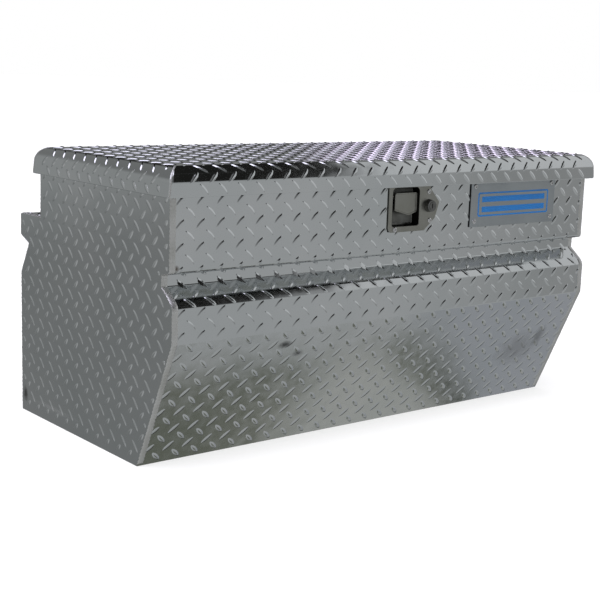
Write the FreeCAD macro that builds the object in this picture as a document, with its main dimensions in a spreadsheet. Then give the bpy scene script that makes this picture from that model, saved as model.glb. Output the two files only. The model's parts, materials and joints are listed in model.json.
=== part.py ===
"""Aluminium truck tool box: a welded sheet chest with a hinged lid, a paddle latch and gas struts.

Frame: +X to the right seen from the front, +Y to the back, +Z up, millimetres.
The origin is the middle of the box's footprint, on the surface it stands on.
"""
import FreeCAD
import Part
import Sketcher
import os
import re

Vector = FreeCAD.Vector

# Driving dimensions, in millimetres and degrees.
SIZES = {
    # box, outside faces
    "sheet": 1.6,
    "bend": 3.0,
    "ridge_bend": 16.0,
    "weld_rise": 1.0,
    "weld_width": 6.0,
    "body_half": 467.0,
    "front_face": -233.5,
    "front_groove": -212.5,
    "lower_front": -242.5,
    "bottom_front": -147.0,
    "rear_face": 172.0,
    "rear_groove": 216.5,
    "ledge_face": 246.5,
    "rim_height": 462.0,
    "rim_flange": 20.0,
    "front_step": 317.5,
    "front_step_in": 313.0,
    "groove_low": 294.6,
    "lower_top": 270.3,
    "lower_low": 212.0,
    "ledge_height": 354.5,
    "rear_step": 316.5,
    "rear_step_in": 304.5,
    "rear_out": 250.5,
    # lid
    "lid_half": 478.0,
    "lid_front": -247.5,
    "lid_rear": 181.0,
    "lid_edge": 430.0,
    "lid_height": 475.0,
    "lid_bend": 25.0,
    "lid_corner": 5.0,
    "seal_inset": 11.0,
    "seal_width": 8.0,
    "seal_gap": 0.9,
    "channel_half": 400.0,
    "channel_web": 18.0,
    "channel_flange": 12.0,
    "channel_depth": 18.0,
    "channel_sheet": 1.2,
    "front_channel": -110.0,
    "rear_channel": 60.0,
    # piano hinge
    "hinge_across": 175.9,
    "hinge_up": 426.0,
    "hinge_half": 450.0,
    "knuckle_radius": 3.5,
    "knuckle_bore": 1.55,
    "hinge_pin_radius": 1.5,
    "knuckle_length": 30.0,
    "knuckle_gap": 0.4,
    "body_leaf_drop": 26.0,
    "lid_leaf_rise": 23.0,
    "leaf_sheet": 1.6,
    # paddle latch
    "latch_left": -39.0,
    "latch_bottom": 353.5,
    "latch_top": 446.5,
    "latch_plate": 1.6,
    "gasket": 1.2,
    "pan_half": 31.0,
    "pan_low": 363.0,
    "pan_high": 428.0,
    "pan_wall": 1.2,
    "pan_depth": 16.2,
    "paddle_left": -21.0,
    "paddle_right": 30.5,
    "paddle_depth": 2.0,
    "paddle_sheet": 2.0,
    "paddle_top": 419.0,
    "pivot_depth": 8.0,
    "pivot_up": 413.0,
    "pivot_radius": 2.0,
    "running": 0.05,
    "pawl_depth": 42.0,
    "pawl_up": 392.0,
    "pawl_pin_radius": 3.0,
    "pawl_half": 4.0,
    "striker_depth": 52.0,
    "striker_up": 434.0,
    "striker_radius": 4.0,
    "striker_half": 16.0,
    "lock_across": 53.0,
    "lock_up": 395.5,
    "lock_head": 11.3,
    "lock_rise": 8.5,
    "lock_body": 9.5,
    "lock_depth": 22.0,
    "plug_radius": 6.5,
    "cam_reach": 54.0,
    "cam_rest_angle": 60.0,
    "cam_hex": 3.4,
    "nut_hex": 5.5,
    # name plate
    "name_left": 156.0,
    "name_right": 378.0,
    "name_low": 352.0,
    "name_high": 434.0,
    "name_plate": 1.6,
    "name_corner": 3.0,
    # gas struts
    "strut_across": 428.0,
    "strut_low_y": 126.5,
    "strut_low_z": 380.0,
    "strut_high_y": -22.9,
    "strut_high_z": 448.0,
    "strut_barrel": 7.5,
    "strut_bore": 6.3,
    "strut_piston": 6.25,
    "strut_rod": 3.0,
    "strut_eye": 7.0,
    "strut_stud": 4.0,
}

doc = FreeCAD.newDocument("truck_tool_box")
sheet = doc.addObject("Spreadsheet::Sheet", "Size")
for row, (alias, value) in enumerate(SIZES.items(), start=1):
    sheet.set(f"A{row}", alias)
    sheet.set(f"B{row}", str(value))
    sheet.setAlias(f"B{row}", alias)
doc.recompute()

nodes = []


def bound(expression):
    """The expression with each dimension's name pointing at its cell."""
    return re.sub(r"[a-z_]{3,}", lambda word: "Size." + word.group(), expression)


def value(expression):
    """The number that an expression of dimension names comes to."""
    return float(sheet.evalExpression(expression))


def keep(item, label):
    """Name a finished sub-part and put it on the list of pieces to write."""
    item.Label = label
    nodes.append(item)
    return item


def plane(body, role):
    """One of a body's own origin planes."""
    return next(item for item in body.Origin.OriginFeatures if item.Role == role)


def sketch_on(body, role, level):
    """An empty sketch on a body's plane, moved along the plane's axis to a level."""
    sketch = body.newObject("Sketcher::SketchObject", "outline")
    sketch.AttachmentSupport = [(plane(body, role), "")]
    sketch.MapMode = "FlatFace"
    sign = "-1 * " if role == "XZ_Plane" else ""
    sketch.setExpression("AttachmentOffset.Base.z", bound(f"{sign}({level})"))
    return sketch


def polygon(sketch, corners):
    """A closed outline whose every corner is held by two bound dimensions."""
    points = [Vector(value(across), value(up), 0) for across, up in corners]
    first = sketch.GeometryCount
    count = len(points)
    for index, point in enumerate(points):
        sketch.addGeometry(Part.LineSegment(point, points[(index + 1) % count]), False)
    for index, (across, up) in enumerate(corners):
        line = first + index
        following = first + (index + 1) % count
        sketch.addConstraint(Sketcher.Constraint("Coincident", line, 2, following, 1))
        for kind, expression in (("DistanceX", across), ("DistanceY", up)):
            number = sketch.addConstraint(Sketcher.Constraint(kind, -1, 1, line, 1, value(expression)))
            sketch.setExpression(f"Constraints[{number}]", bound(expression))


def circle(sketch, across, up, radius):
    """A circle whose centre and radius are bound."""
    centre = Vector(value(across), value(up), 0)
    ring = sketch.addGeometry(Part.Circle(centre, Vector(0, 0, 1), value(radius)), False)
    for kind, expression in (("DistanceX", across), ("DistanceY", up)):
        number = sketch.addConstraint(Sketcher.Constraint(kind, -1, 1, ring, 3, value(expression)))
        sketch.setExpression(f"Constraints[{number}]", bound(expression))
    number = sketch.addConstraint(Sketcher.Constraint("Radius", ring, value(radius)))
    sketch.setExpression(f"Constraints[{number}]", bound(radius))


def rectangle(low_across, low_up, high_across, high_up):
    """The four corners of a rectangle."""
    return [(low_across, low_up), (high_across, low_up), (high_across, high_up), (low_across, high_up)]


def hexagon(radius, across, up):
    """The six corners of a hexagon, given the radius to its corners and its centre."""
    steps = [(1, 0), (0.5, 0.8660254), (-0.5, 0.8660254), (-1, 0), (-0.5, -0.8660254), (0.5, -0.8660254)]
    return [(f"{across} + {x} * ({radius})", f"{up} + {y} * ({radius})") for x, y in steps]


def new_body(name):
    return doc.addObject("PartDesign::Body", name)


def prism(body, role, outlines, low, high, circles=(), cut=False):
    """Pad or pocket outlines on one of the body's planes, from one level up to another."""
    sketch = sketch_on(body, role, low)
    for corners in outlines:
        polygon(sketch, corners)
    for ring in circles:
        circle(sketch, *ring)
    feature = body.newObject("PartDesign::Pocket" if cut else "PartDesign::Pad", "depth")
    feature.Profile = sketch
    feature.setExpression("Length", bound(f"({high}) - ({low})"))
    backwards = role == "XZ_Plane"
    feature.Reversed = backwards != cut
    doc.recompute()
    return feature


def round_edges(body, base, radius, chosen):
    """Fillet the edges of the last feature for which chosen(edge) is true."""
    names = [f"Edge{n}" for n, edge in enumerate(base.Shape.Edges, start=1) if chosen(edge)]
    fillet = body.newObject("PartDesign::Fillet", "rounding")
    fillet.Base = (base, names)
    fillet.setExpression("Radius", bound(radius))
    doc.recompute()
    return fillet


def along_x_at(points):
    """A test for edges that run along X through one of the given (y, z) points."""
    def chosen(edge):
        ends = [vertex.Point for vertex in edge.Vertexes]
        if len(ends) != 2 or abs(ends[0].x - ends[1].x) < 1:
            return False
        return any(abs(end.y - y) < 0.01 and abs(end.z - z) < 0.01 for y, z in points for end in ends[:1])
    return chosen


def upright(direction):
    """A test for straight edges that run along one axis, 0 for X, 1 for Y and 2 for Z."""
    def chosen(edge):
        ends = [vertex.Point for vertex in edge.Vertexes]
        if len(ends) != 2:
            return False
        span = ends[1] - ends[0]
        return all(abs(span[axis]) < 1e-6 for axis in range(3) if axis != direction)
    return chosen


def offset_path(points, distance):
    """The path moved to its left by a distance, with mitred corners and square ends."""
    moved = []
    for index, point in enumerate(points):
        before = (point - points[index - 1]).normalize() if index else None
        after = (points[index + 1] - point).normalize() if index + 1 < len(points) else None
        before = before or after
        after = after or before
        left = Vector(-before.y, before.x, 0)
        mitre = (left + Vector(-after.y, after.x, 0)).normalize()
        moved.append(point + mitre * (distance / mitre.dot(left)))
    return moved


def bent_strip(body, path, gauge, side, low, high, inside=None):
    """Sheet metal folded along a path of (y, z) corners and as long as from low to high along X.

    The path is the face that shows; the sheet's other face is a gauge away, to the left
    of the path when side is 1 and to its right when it is -1. Both faces of each fold are
    rounded: by bend on the fold's inside and by bend and the sheet on its outside.
    """
    sketch = sketch_on(body, "YZ_Plane", low)
    shown = [Vector(value(across), value(up), 0) for across, up in path]
    hidden = offset_path(shown, side * value(gauge))
    count = len(shown)
    loop = shown + hidden[::-1]
    for index, point in enumerate(loop):
        sketch.addGeometry(Part.LineSegment(point, loop[(index + 1) % len(loop)]), False)
    for index in range(len(loop)):
        sketch.addConstraint(Sketcher.Constraint("Coincident", index, 2, (index + 1) % len(loop), 1))
    for index, (across, up) in enumerate(path):
        for kind, expression in (("DistanceX", across), ("DistanceY", up)):
            number = sketch.addConstraint(Sketcher.Constraint(kind, -1, 1, index, 1, value(expression)))
            sketch.setExpression(f"Constraints[{number}]", bound(expression))
    for index in range(count - 1):
        partner = 2 * count - 2 - index
        sketch.addConstraint(Sketcher.Constraint("Parallel", index, partner))
        number = sketch.addConstraint(Sketcher.Constraint("Distance", partner, 1, index, value(gauge)))
        sketch.setExpression(f"Constraints[{number}]", bound(gauge))
    sketch.addConstraint(Sketcher.Constraint("Perpendicular", 0, 2 * count - 1))
    sketch.addConstraint(Sketcher.Constraint("Perpendicular", count - 2, count - 1))
    feature = body.newObject("PartDesign::Pad", "length")
    feature.Profile = sketch
    feature.setExpression("Length", bound(f"({high}) - ({low})"))
    doc.recompute()
    rounded = {}
    for index in range(1, count - 1):
        radius = fold_radius(shown, index)
        other = hidden_radius(shown, index, gauge, side)
        rounded.setdefault(radius, []).append((shown[index].x, shown[index].y))
        rounded.setdefault(other, []).append((hidden[index].x, hidden[index].y))
    for radius, corners in rounded.items():
        feature = round_edges(body, feature, radius, along_x_at(corners))
    return feature


def turns_left(points, index):
    before = points[index] - points[index - 1]
    after = points[index + 1] - points[index]
    return before.x * after.y - before.y * after.x > 0


def fold_radius(points, index):
    """The radius of the box's outside face at a fold of a path that has the box on its left."""
    if (points[index].x, points[index].y) == (value("lower_front"), value("lower_top")):
        return "ridge_bend"
    return "bend + sheet" if turns_left(points, index) else "bend"


def hidden_radius(points, index, gauge, side):
    """The radius of a strip's other face at a fold, so that the strip keeps its thickness."""
    towards = turns_left(points, index) == (side == 1)
    sign = "-" if towards else "+"
    return f"{fold_radius(points, index)} {sign} {gauge}"


FRONT_PATH = [
    ("front_face + rim_flange", "rim_height"),
    ("front_face", "rim_height"),
    ("front_face", "front_step"),
    ("front_groove", "front_step_in"),
    ("front_groove", "groove_low"),
    ("lower_front", "lower_top"),
    ("lower_front", "lower_low"),
    ("bottom_front", "0"),
]

REAR_PATH = [
    ("ledge_face", "0"),
    ("ledge_face", "rear_out"),
    ("rear_groove", "rear_step_in"),
    ("ledge_face", "rear_step"),
    ("ledge_face", "ledge_height"),
    ("rear_face", "ledge_height"),
    ("rear_face", "rim_height"),
    ("rear_face - rim_flange", "rim_height"),
]


def front_panel():
    """The front sheet, folded from the rim to the floor, with holes for the latch."""
    body = new_body("front_panel")
    bent_strip(body, FRONT_PATH, "sheet", 1, "sheet - body_half", "body_half - sheet")
    opening = rectangle("-pan_half - pan_wall - 1", "pan_low - pan_wall - 1",
                        "pan_half + pan_wall + 1", "pan_high + pan_wall + 1")
    holes = [("lock_across", "lock_up", "lock_body + 0.5")]
    prism(body, "XZ_Plane", [opening], "front_face - 1", "front_face + sheet + 1", holes, cut=True)
    keep(body, "front_panel")


def rear_panel():
    """The rear sheet, folded from the floor up over the ledge to the rim."""
    body = new_body("rear_panel")
    bent_strip(body, REAR_PATH, "sheet", 1, "sheet - body_half", "body_half - sheet")
    keep(body, "rear_panel")


def floor_panel():
    body = new_body("floor_panel")
    outline = rectangle("sheet - body_half", "bottom_front + 1.8", "body_half - sheet", "ledge_face - sheet")
    prism(body, "XY_Plane", [outline], "0", "sheet")
    keep(body, "floor_panel")


def end_panel(label, low, high, flange_low, flange_high):
    """A flat end with the box's outline and a flange turned in along its rim."""
    body = new_body(label)
    outline = FRONT_PATH[1:] + REAR_PATH[:-1]
    feature = prism(body, "YZ_Plane", [outline], low, high)
    shown = [Vector(value(across), value(up), 0) for across, up in outline]
    closed = [shown[-1]] + shown + [shown[0]]
    rounded = {}
    for index in range(1, len(closed) - 1):
        if closed[index].y > 0:
            corner = (closed[index].x, closed[index].y)
            rounded.setdefault(fold_radius(closed, index), []).append(corner)
    for radius, corners in rounded.items():
        feature = round_edges(body, feature, radius, along_x_at(corners))
    flange = rectangle(flange_low, "front_face + rim_flange + 0.1", flange_high, "rear_face - rim_flange - 0.1")
    prism(body, "XY_Plane", [flange], "rim_height - sheet", "rim_height")
    keep(body, label)


def corner_weld(label, path, low, high):
    """A weld bead along the corner of the box, laid over the edge of the end panel."""
    body = new_body(label)
    bent_strip(body, path, "weld_rise", -1, low, high)
    keep(body, label)


def corner_welds():
    """Four beads: front and rear, at each end. They stop just above the floor."""
    front = [("front_face", "lid_edge + 10")] + FRONT_PATH[2:-1]
    slope = "(lower_front - bottom_front) / lower_low"
    front.append((f"bottom_front + {slope} * 3", "3"))
    rear = [("ledge_face", "3")] + REAR_PATH[1:-2] + [("rear_face", "lid_edge - 34")]
    ends = {"left": ("-body_half", "weld_width - body_half"), "right": ("body_half - weld_width", "body_half")}
    for end, (low, high) in ends.items():
        corner_weld(f"{end}_front_weld", front, low, high)
        corner_weld(f"{end}_rear_weld", rear, low, high)


def lid_seal():
    """Rubber seal on the rim, just under the closed lid."""
    body = new_body("lid_seal")
    outer = rectangle("seal_inset - body_half", "front_face + seal_inset",
                      "body_half - seal_inset", "rear_face - seal_inset")
    inner = rectangle("seal_inset + seal_width - body_half", "front_face + seal_inset + seal_width",
                      "body_half - seal_inset - seal_width", "rear_face - seal_inset - seal_width")
    prism(body, "XY_Plane", [outer, inner], "rim_height", "lid_height - sheet - seal_gap")
    keep(body, "lid_seal")


def lid_skin():
    """The lid's sheet: a flat top with wide bends down to a skirt on all four sides."""
    body = new_body("lid_skin")
    outline = rectangle("-lid_half", "lid_front", "lid_half", "lid_rear")
    feature = prism(body, "XY_Plane", [outline], "lid_edge", "lid_height")
    feature = round_edges(body, feature, "lid_corner", upright(2))
    top = value("lid_height")
    feature = round_edges(body, feature, "lid_bend",
                          lambda edge: all(abs(vertex.Point.z - top) < 1e-6 for vertex in edge.Vertexes))
    under = value("lid_edge")
    faces = [f"Face{n}" for n, face in enumerate(feature.Shape.Faces, start=1)
             if abs(face.CenterOfMass.z - under) < 1e-6]
    shell = body.newObject("PartDesign::Thickness", "shell")
    shell.Base = (feature, faces)
    shell.setExpression("Value", bound("sheet"))
    shell.Reversed = True
    doc.recompute()
    keep(body, "lid_skin")


def lid_channel(label, centre):
    """A hat channel under the lid, along its length."""
    body = new_body(label)
    top = "lid_height - sheet"
    low = f"{top} - channel_depth"
    path = [
        (f"{centre} - channel_web - channel_flange", top),
        (f"{centre} - channel_web", top),
        (f"{centre} - channel_web", low),
        (f"{centre} + channel_web", low),
        (f"{centre} + channel_web", top),
        (f"{centre} + channel_web + channel_flange", top),
    ]
    bent_strip(body, path, "channel_sheet", -1, "-channel_half", "channel_half")
    keep(body, label)


def cylinder(name, radius, length, x, y, z, axis):
    """A Part cylinder from a bound point along an axis."""
    item = doc.addObject("Part::Cylinder", name)
    item.setExpression("Radius", bound(radius))
    item.setExpression("Height", bound(length))
    item.Placement = FreeCAD.Placement(Vector(0, 0, 0), FreeCAD.Rotation(Vector(0, 0, 1), axis))
    for letter, expression in zip("xyz", (x, y, z)):
        item.setExpression(f"Placement.Base.{letter}", bound(expression))
    return item


def fuse(name, items):
    whole = doc.addObject("Part::MultiFuse", name)
    whole.Shapes = items
    doc.recompute()
    return whole


def cut(name, base, tool):
    rest = doc.addObject("Part::Cut", name)
    rest.Base = base
    rest.Tool = tool
    doc.recompute()
    return rest


def group(label, items):
    """Identical pieces that share one node."""
    whole = doc.addObject("Part::Compound", label)
    whole.Links = items
    doc.recompute()
    keep(whole, label)


def hinge():
    """A piano hinge: two leaves with alternate knuckles on one long pin."""
    pitch = "knuckle_length"
    pairs = round(value("hinge_half") / value("knuckle_length"))
    leaf_faces = {
        "hinge_body_leaf": ("rear_face", "rear_face + leaf_sheet + 0.2",
                            "hinge_up - body_leaf_drop", "hinge_up", 0),
        "hinge_lid_leaf": ("lid_rear - sheet - leaf_sheet - 0.2", "lid_rear - sheet",
                           "hinge_up", "hinge_up + lid_leaf_rise", 1),
    }
    for label, (near, far, low, high, shift) in leaf_faces.items():
        body = new_body(label)
        if shift:
            low_leaf, high_leaf = "hinge_up + knuckle_radius + 0.3", high
        else:
            low_leaf, high_leaf = low, "hinge_up - knuckle_radius - 0.3"
        prism(body, "YZ_Plane", [rectangle(near, low_leaf, far, high_leaf)], "-hinge_half", "hinge_half")
        start = f"-hinge_half + {shift} * {pitch} + knuckle_gap / 2"
        end = f"-hinge_half + {shift + 1} * {pitch} - knuckle_gap / 2"
        arm = rectangle(near, "hinge_up" if shift else high_leaf, far, low_leaf if shift else "hinge_up")
        sketch = sketch_on(body, "YZ_Plane", start)
        polygon(sketch, arm)
        tab = body.newObject("PartDesign::Pad", "tab")
        tab.Profile = sketch
        tab.setExpression("Length", bound(f"({end}) - ({start})"))
        doc.recompute()
        sketch = sketch_on(body, "YZ_Plane", start)
        circle(sketch, "hinge_across", "hinge_up", "knuckle_radius")
        roll = body.newObject("PartDesign::Pad", "knuckle")
        roll.Profile = sketch
        roll.setExpression("Length", bound(f"({end}) - ({start})"))
        doc.recompute()
        pattern = body.newObject("PartDesign::LinearPattern", "knuckles")
        pattern.Originals = [tab, roll]
        pattern.Direction = (next(item for item in body.Origin.OriginFeatures if item.Role == "X_Axis"), [""])
        pattern.setExpression("Length", bound(f"{pitch} * {2 * (pairs - 1)}"))
        pattern.Occurrences = pairs
        body.Tip = pattern
        doc.recompute()
        sketch = sketch_on(body, "YZ_Plane", "-hinge_half - 1")
        circle(sketch, "hinge_across", "hinge_up", "knuckle_bore")
        bore = body.newObject("PartDesign::Pocket", "bore")
        bore.Profile = sketch
        bore.Reversed = True
        bore.setExpression("Length", bound("2 * hinge_half + 2"))
        doc.recompute()
        keep(body, label)
    pin = cylinder("pin_rod", "hinge_pin_radius", "2 * hinge_half", "-hinge_half",
                   "hinge_across", "hinge_up", Vector(1, 0, 0))
    keep(pin, "hinge_pin")


def rivet(name, x, y, z, axis, head, head_height, shank, grip):
    """A rivet or screw: its head stands on the face at (x, y, z), on the side that axis points to."""
    inward = axis * -1
    cap = doc.addObject("Part::Cone", name + "_head")
    cap.setExpression("Radius1", bound(head))
    cap.setExpression("Radius2", bound(f"({head}) * 0.6"))
    cap.setExpression("Height", bound(head_height))
    cap.Placement = FreeCAD.Placement(Vector(0, 0, 0), FreeCAD.Rotation(Vector(0, 0, 1), axis))
    for letter, expression in zip("xyz", (x, y, z)):
        cap.setExpression(f"Placement.Base.{letter}", bound(expression))
    stem = cylinder(name + "_shank", shank, grip, x, y, z, inward)
    return fuse(name, [cap, stem])


def hinge_rivets():
    """Two rows of rivets: one through the rear panel, one through the lid's rear skirt."""
    count = 9
    rows = {
        "hinge_body_rivets": ("rear_face + leaf_sheet + 0.2", "hinge_up - 17", Vector(0, 1, 0)),
        "hinge_lid_rivets": ("lid_rear - sheet - leaf_sheet - 0.2", "hinge_up + 17", Vector(0, -1, 0)),
    }
    for label, (face, up, axis) in rows.items():
        row = []
        for place in range(count):
            across = f"hinge_half * {2 * place - count + 1} / {count}"
            row.append(rivet(f"{label}_{place}", across, face, up, axis, "4", "1.2", "2", "leaf_sheet + sheet + 0.2"))
        group(label, row)


def latch_outline(inset):
    """The latch plate's outline: square on the left and pointed on the right."""
    return [
        (f"latch_left + {inset}", f"latch_bottom + {inset}"),
        (f"latch_left + 83.5 - {inset} * 0.5", f"latch_bottom + {inset}"),
        (f"latch_left + 108 - {inset}", f"latch_bottom + 20.5 + {inset} * 0.3"),
        (f"latch_left + 117 - {inset}", f"latch_bottom + 47.5"),
        (f"latch_left + 95 - {inset}", f"latch_bottom + 71.5"),
        (f"latch_left + 95 - {inset}", f"latch_top - {inset}"),
        (f"latch_left + {inset}", f"latch_top - {inset}"),
    ]


def latch_dish():
    """The latch's stainless plate, pressed in one piece with the pan behind it."""
    body = new_body("latch_dish")
    face = "front_face - gasket - latch_plate"
    back = "front_face - gasket"
    feature = prism(body, "XZ_Plane", [latch_outline("0")], face, back)
    feature = round_edges(body, feature, "8", lambda edge: upright(1)(edge)
                          and abs(edge.Vertexes[0].Point.x - value("latch_left")) < 0.01)
    pan = rectangle("-pan_half - pan_wall", "pan_low - pan_wall", "pan_half + pan_wall", "pan_high + pan_wall")
    prism(body, "XZ_Plane", [pan], back, "front_face + pan_depth")
    pocket = rectangle("-pan_half", "pan_low", "pan_half", "pan_high")
    holes = [("lock_across", "lock_up", "lock_body")]
    prism(body, "XZ_Plane", [pocket], face, "front_face + pan_depth - pan_wall", cut=True)
    prism(body, "XZ_Plane", [], face, back, holes, cut=True)
    slot = rectangle("-5", "pivot_up - 12", "5", "pivot_up + 4")
    prism(body, "XZ_Plane", [slot], "front_face", "front_face + pan_depth", cut=True)
    keep(body, "latch_dish")


def latch_gasket():
    body = new_body("latch_gasket")
    pan = rectangle("-pan_half - pan_wall - 1", "pan_low - pan_wall - 1",
                    "pan_half + pan_wall + 1", "pan_high + pan_wall + 1")
    holes = [("lock_across", "lock_up", "lock_body + 0.5")]
    prism(body, "XZ_Plane", [latch_outline("1"), pan], "front_face - gasket", "front_face", holes)
    keep(body, "latch_gasket")


def latch_screws():
    places = [("latch_left + 15", "latch_bottom + 4.7"), ("latch_left + 91", "latch_bottom + 66"),
              ("latch_left + 95", "latch_bottom + 16.5"), ("latch_left + 15", "latch_top - 5")]
    row = []
    for index, (across, up) in enumerate(places):
        row.append(rivet(f"latch_screw_{index}", across, "front_face - gasket - latch_plate", up,
                         Vector(0, -1, 0), "3.2", "1.2", "1.5", "latch_plate + gasket + sheet + 2"))
    group("latch_screws", row)


def paddle():
    """The pull paddle: a plate with a V lower edge, two ears on its pin and a tail to the back."""
    body = new_body("paddle")
    face = "front_face + paddle_depth"
    back = "front_face + paddle_depth + paddle_sheet"
    plate = [
        ("paddle_left", "paddle_top - 30"),
        ("paddle_left + 11", "paddle_top - 30"),
        ("paddle_left + 32", "paddle_top - 39"),
        ("paddle_right", "paddle_top - 30"),
        ("paddle_right", "paddle_top"),
        ("paddle_left", "paddle_top"),
    ]
    prism(body, "XZ_Plane", [plate], face, back)
    ears = rectangle(back, "pivot_up - 5", "front_face + pivot_depth + 5", "pivot_up + 5")
    prism(body, "YZ_Plane", [ears], "paddle_left + 2", "paddle_left + 5")
    prism(body, "YZ_Plane", [ears], "paddle_right - 5", "paddle_right - 2")
    tail = rectangle(back, "pivot_up - 2", "front_face + 33", "pivot_up + 2")
    boss = rectangle(back, "pivot_up - 5", "front_face + pivot_depth + 5", "pivot_up + 5")
    prism(body, "YZ_Plane", [tail], "-4", "4")
    prism(body, "YZ_Plane", [boss], "-4", "4")
    bore = [("front_face + pivot_depth", "pivot_up", "pivot_radius + running")]
    prism(body, "YZ_Plane", [], "paddle_left", "paddle_right", bore, cut=True)
    keep(body, "paddle")
    pin = cylinder("paddle_rod", "pivot_radius", "2 * pan_half", "-pan_half",
                   "front_face + pivot_depth", "pivot_up", Vector(1, 0, 0))
    keep(pin, "paddle_pin")


def coil(label, wire, radius, turns, x, y, z):
    """A torsion spring wound close round a pin along X."""
    rings = []
    for turn in range(turns):
        ring = doc.addObject("Part::Torus", f"{label}_{turn}")
        ring.setExpression("Radius1", bound(radius))
        ring.setExpression("Radius2", bound(wire))
        ring.Placement = FreeCAD.Placement(Vector(0, 0, 0), FreeCAD.Rotation(Vector(0, 0, 1), Vector(1, 0, 0)))
        ring.setExpression("Placement.Base.x", bound(f"{x} + 2.05 * ({wire}) * {turn}"))
        ring.setExpression("Placement.Base.y", bound(y))
        ring.setExpression("Placement.Base.z", bound(z))
        rings.append(ring)
    group(label, rings)


def pawl():
    """The hook that holds the striker, its bracket, its pin and the springs."""
    body = new_body("latch_bracket")
    back = "front_face + pan_depth"
    base = rectangle("-14", "pawl_up - 14", "14", "pawl_up + 5")
    prism(body, "XZ_Plane", [base], back, f"{back} + 1.5")
    cheek = rectangle(f"{back} + 1.5", "pawl_up - 10", "front_face + pawl_depth + 8", "pawl_up + 5")
    prism(body, "YZ_Plane", [cheek], "-10", "-8")
    prism(body, "YZ_Plane", [cheek], "8", "10")
    bore = [("front_face + pawl_depth", "pawl_up", "pawl_pin_radius")]
    prism(body, "YZ_Plane", [], "-10", "10", bore, cut=True)
    keep(body, "latch_bracket")

    body = new_body("pawl")
    near = "front_face + pawl_depth - 5"
    far = "front_face + pawl_depth + 2"
    tip = "front_face + striker_depth + 6"
    under = "striker_up + striker_radius + 0.8"
    hook = [
        (near, "pawl_up - 5"),
        ("front_face + pawl_depth + 6", "pawl_up - 5"),
        ("front_face + pawl_depth + 6", "pawl_up + 6"),
        (far, "pawl_up + 12"),
        (far, under),
        (tip, under),
        (tip, f"{under} + 2"),
        ("front_face + pawl_depth + 4", f"{under} + 8"),
        (near, f"{under} + 3"),
        (near, "pawl_up + 11"),
        ("front_face + pawl_depth - 14", "pawl_up + 11"),
        ("front_face + pawl_depth - 14", "pawl_up + 6"),
        (near, "pawl_up + 3"),
    ]
    bore = [("front_face + pawl_depth", "pawl_up", "pawl_pin_radius + running")]
    prism(body, "YZ_Plane", [hook], "-pawl_half", "pawl_half", bore)
    keep(body, "pawl")
    pin = cylinder("pawl_rod", "pawl_pin_radius", "20", "-10", "front_face + pawl_depth", "pawl_up", Vector(1, 0, 0))
    keep(pin, "pawl_pin")
    coil("pawl_spring", "0.5", "3.8", 3, "pawl_half + 1", "front_face + pawl_depth", "pawl_up")
    coil("paddle_spring", "0.5", "2.8", 8, "paddle_left + 7", "front_face + pivot_depth", "pivot_up")


def striker():
    """A bent rod under the lid that the pawl hooks, on a plate with two screws."""
    body = new_body("striker_plate")
    top = "lid_height - sheet"
    plate = rectangle("-striker_half - 18", "front_face + striker_depth - 13",
                      "striker_half + 18", "front_face + striker_depth + 13")
    prism(body, "XY_Plane", [plate], f"{top} - 2", top)
    keep(body, "striker_plate")
    legs = []
    for side in (-1, 1):
        legs.append(cylinder(f"leg_{side + 1}", "striker_radius", f"{top} - 2 - striker_up",
                             f"{side} * striker_half", "front_face + striker_depth", "striker_up", Vector(0, 0, 1)))
    legs.append(cylinder("bar", "striker_radius", "2 * striker_half", "-striker_half",
                         "front_face + striker_depth", "striker_up", Vector(1, 0, 0)))
    for side in (-1, 1):
        knee = doc.addObject("Part::Sphere", f"knee_{side + 1}")
        knee.setExpression("Radius", bound("striker_radius"))
        knee.setExpression("Placement.Base.x", bound(f"{side} * striker_half"))
        knee.setExpression("Placement.Base.y", bound("front_face + striker_depth"))
        knee.setExpression("Placement.Base.z", bound("striker_up"))
        legs.append(knee)
    keep(fuse("loop", legs), "striker_loop")
    row = []
    for index, side in enumerate((-1, 1)):
        row.append(rivet(f"striker_screw_{index}", f"{side} * (striker_half + 12)", "front_face + striker_depth",
                         f"{top} - 2", Vector(0, 0, -1), "4", "2", "2", "2 + sheet"))
    group("striker_screws", row)


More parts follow.
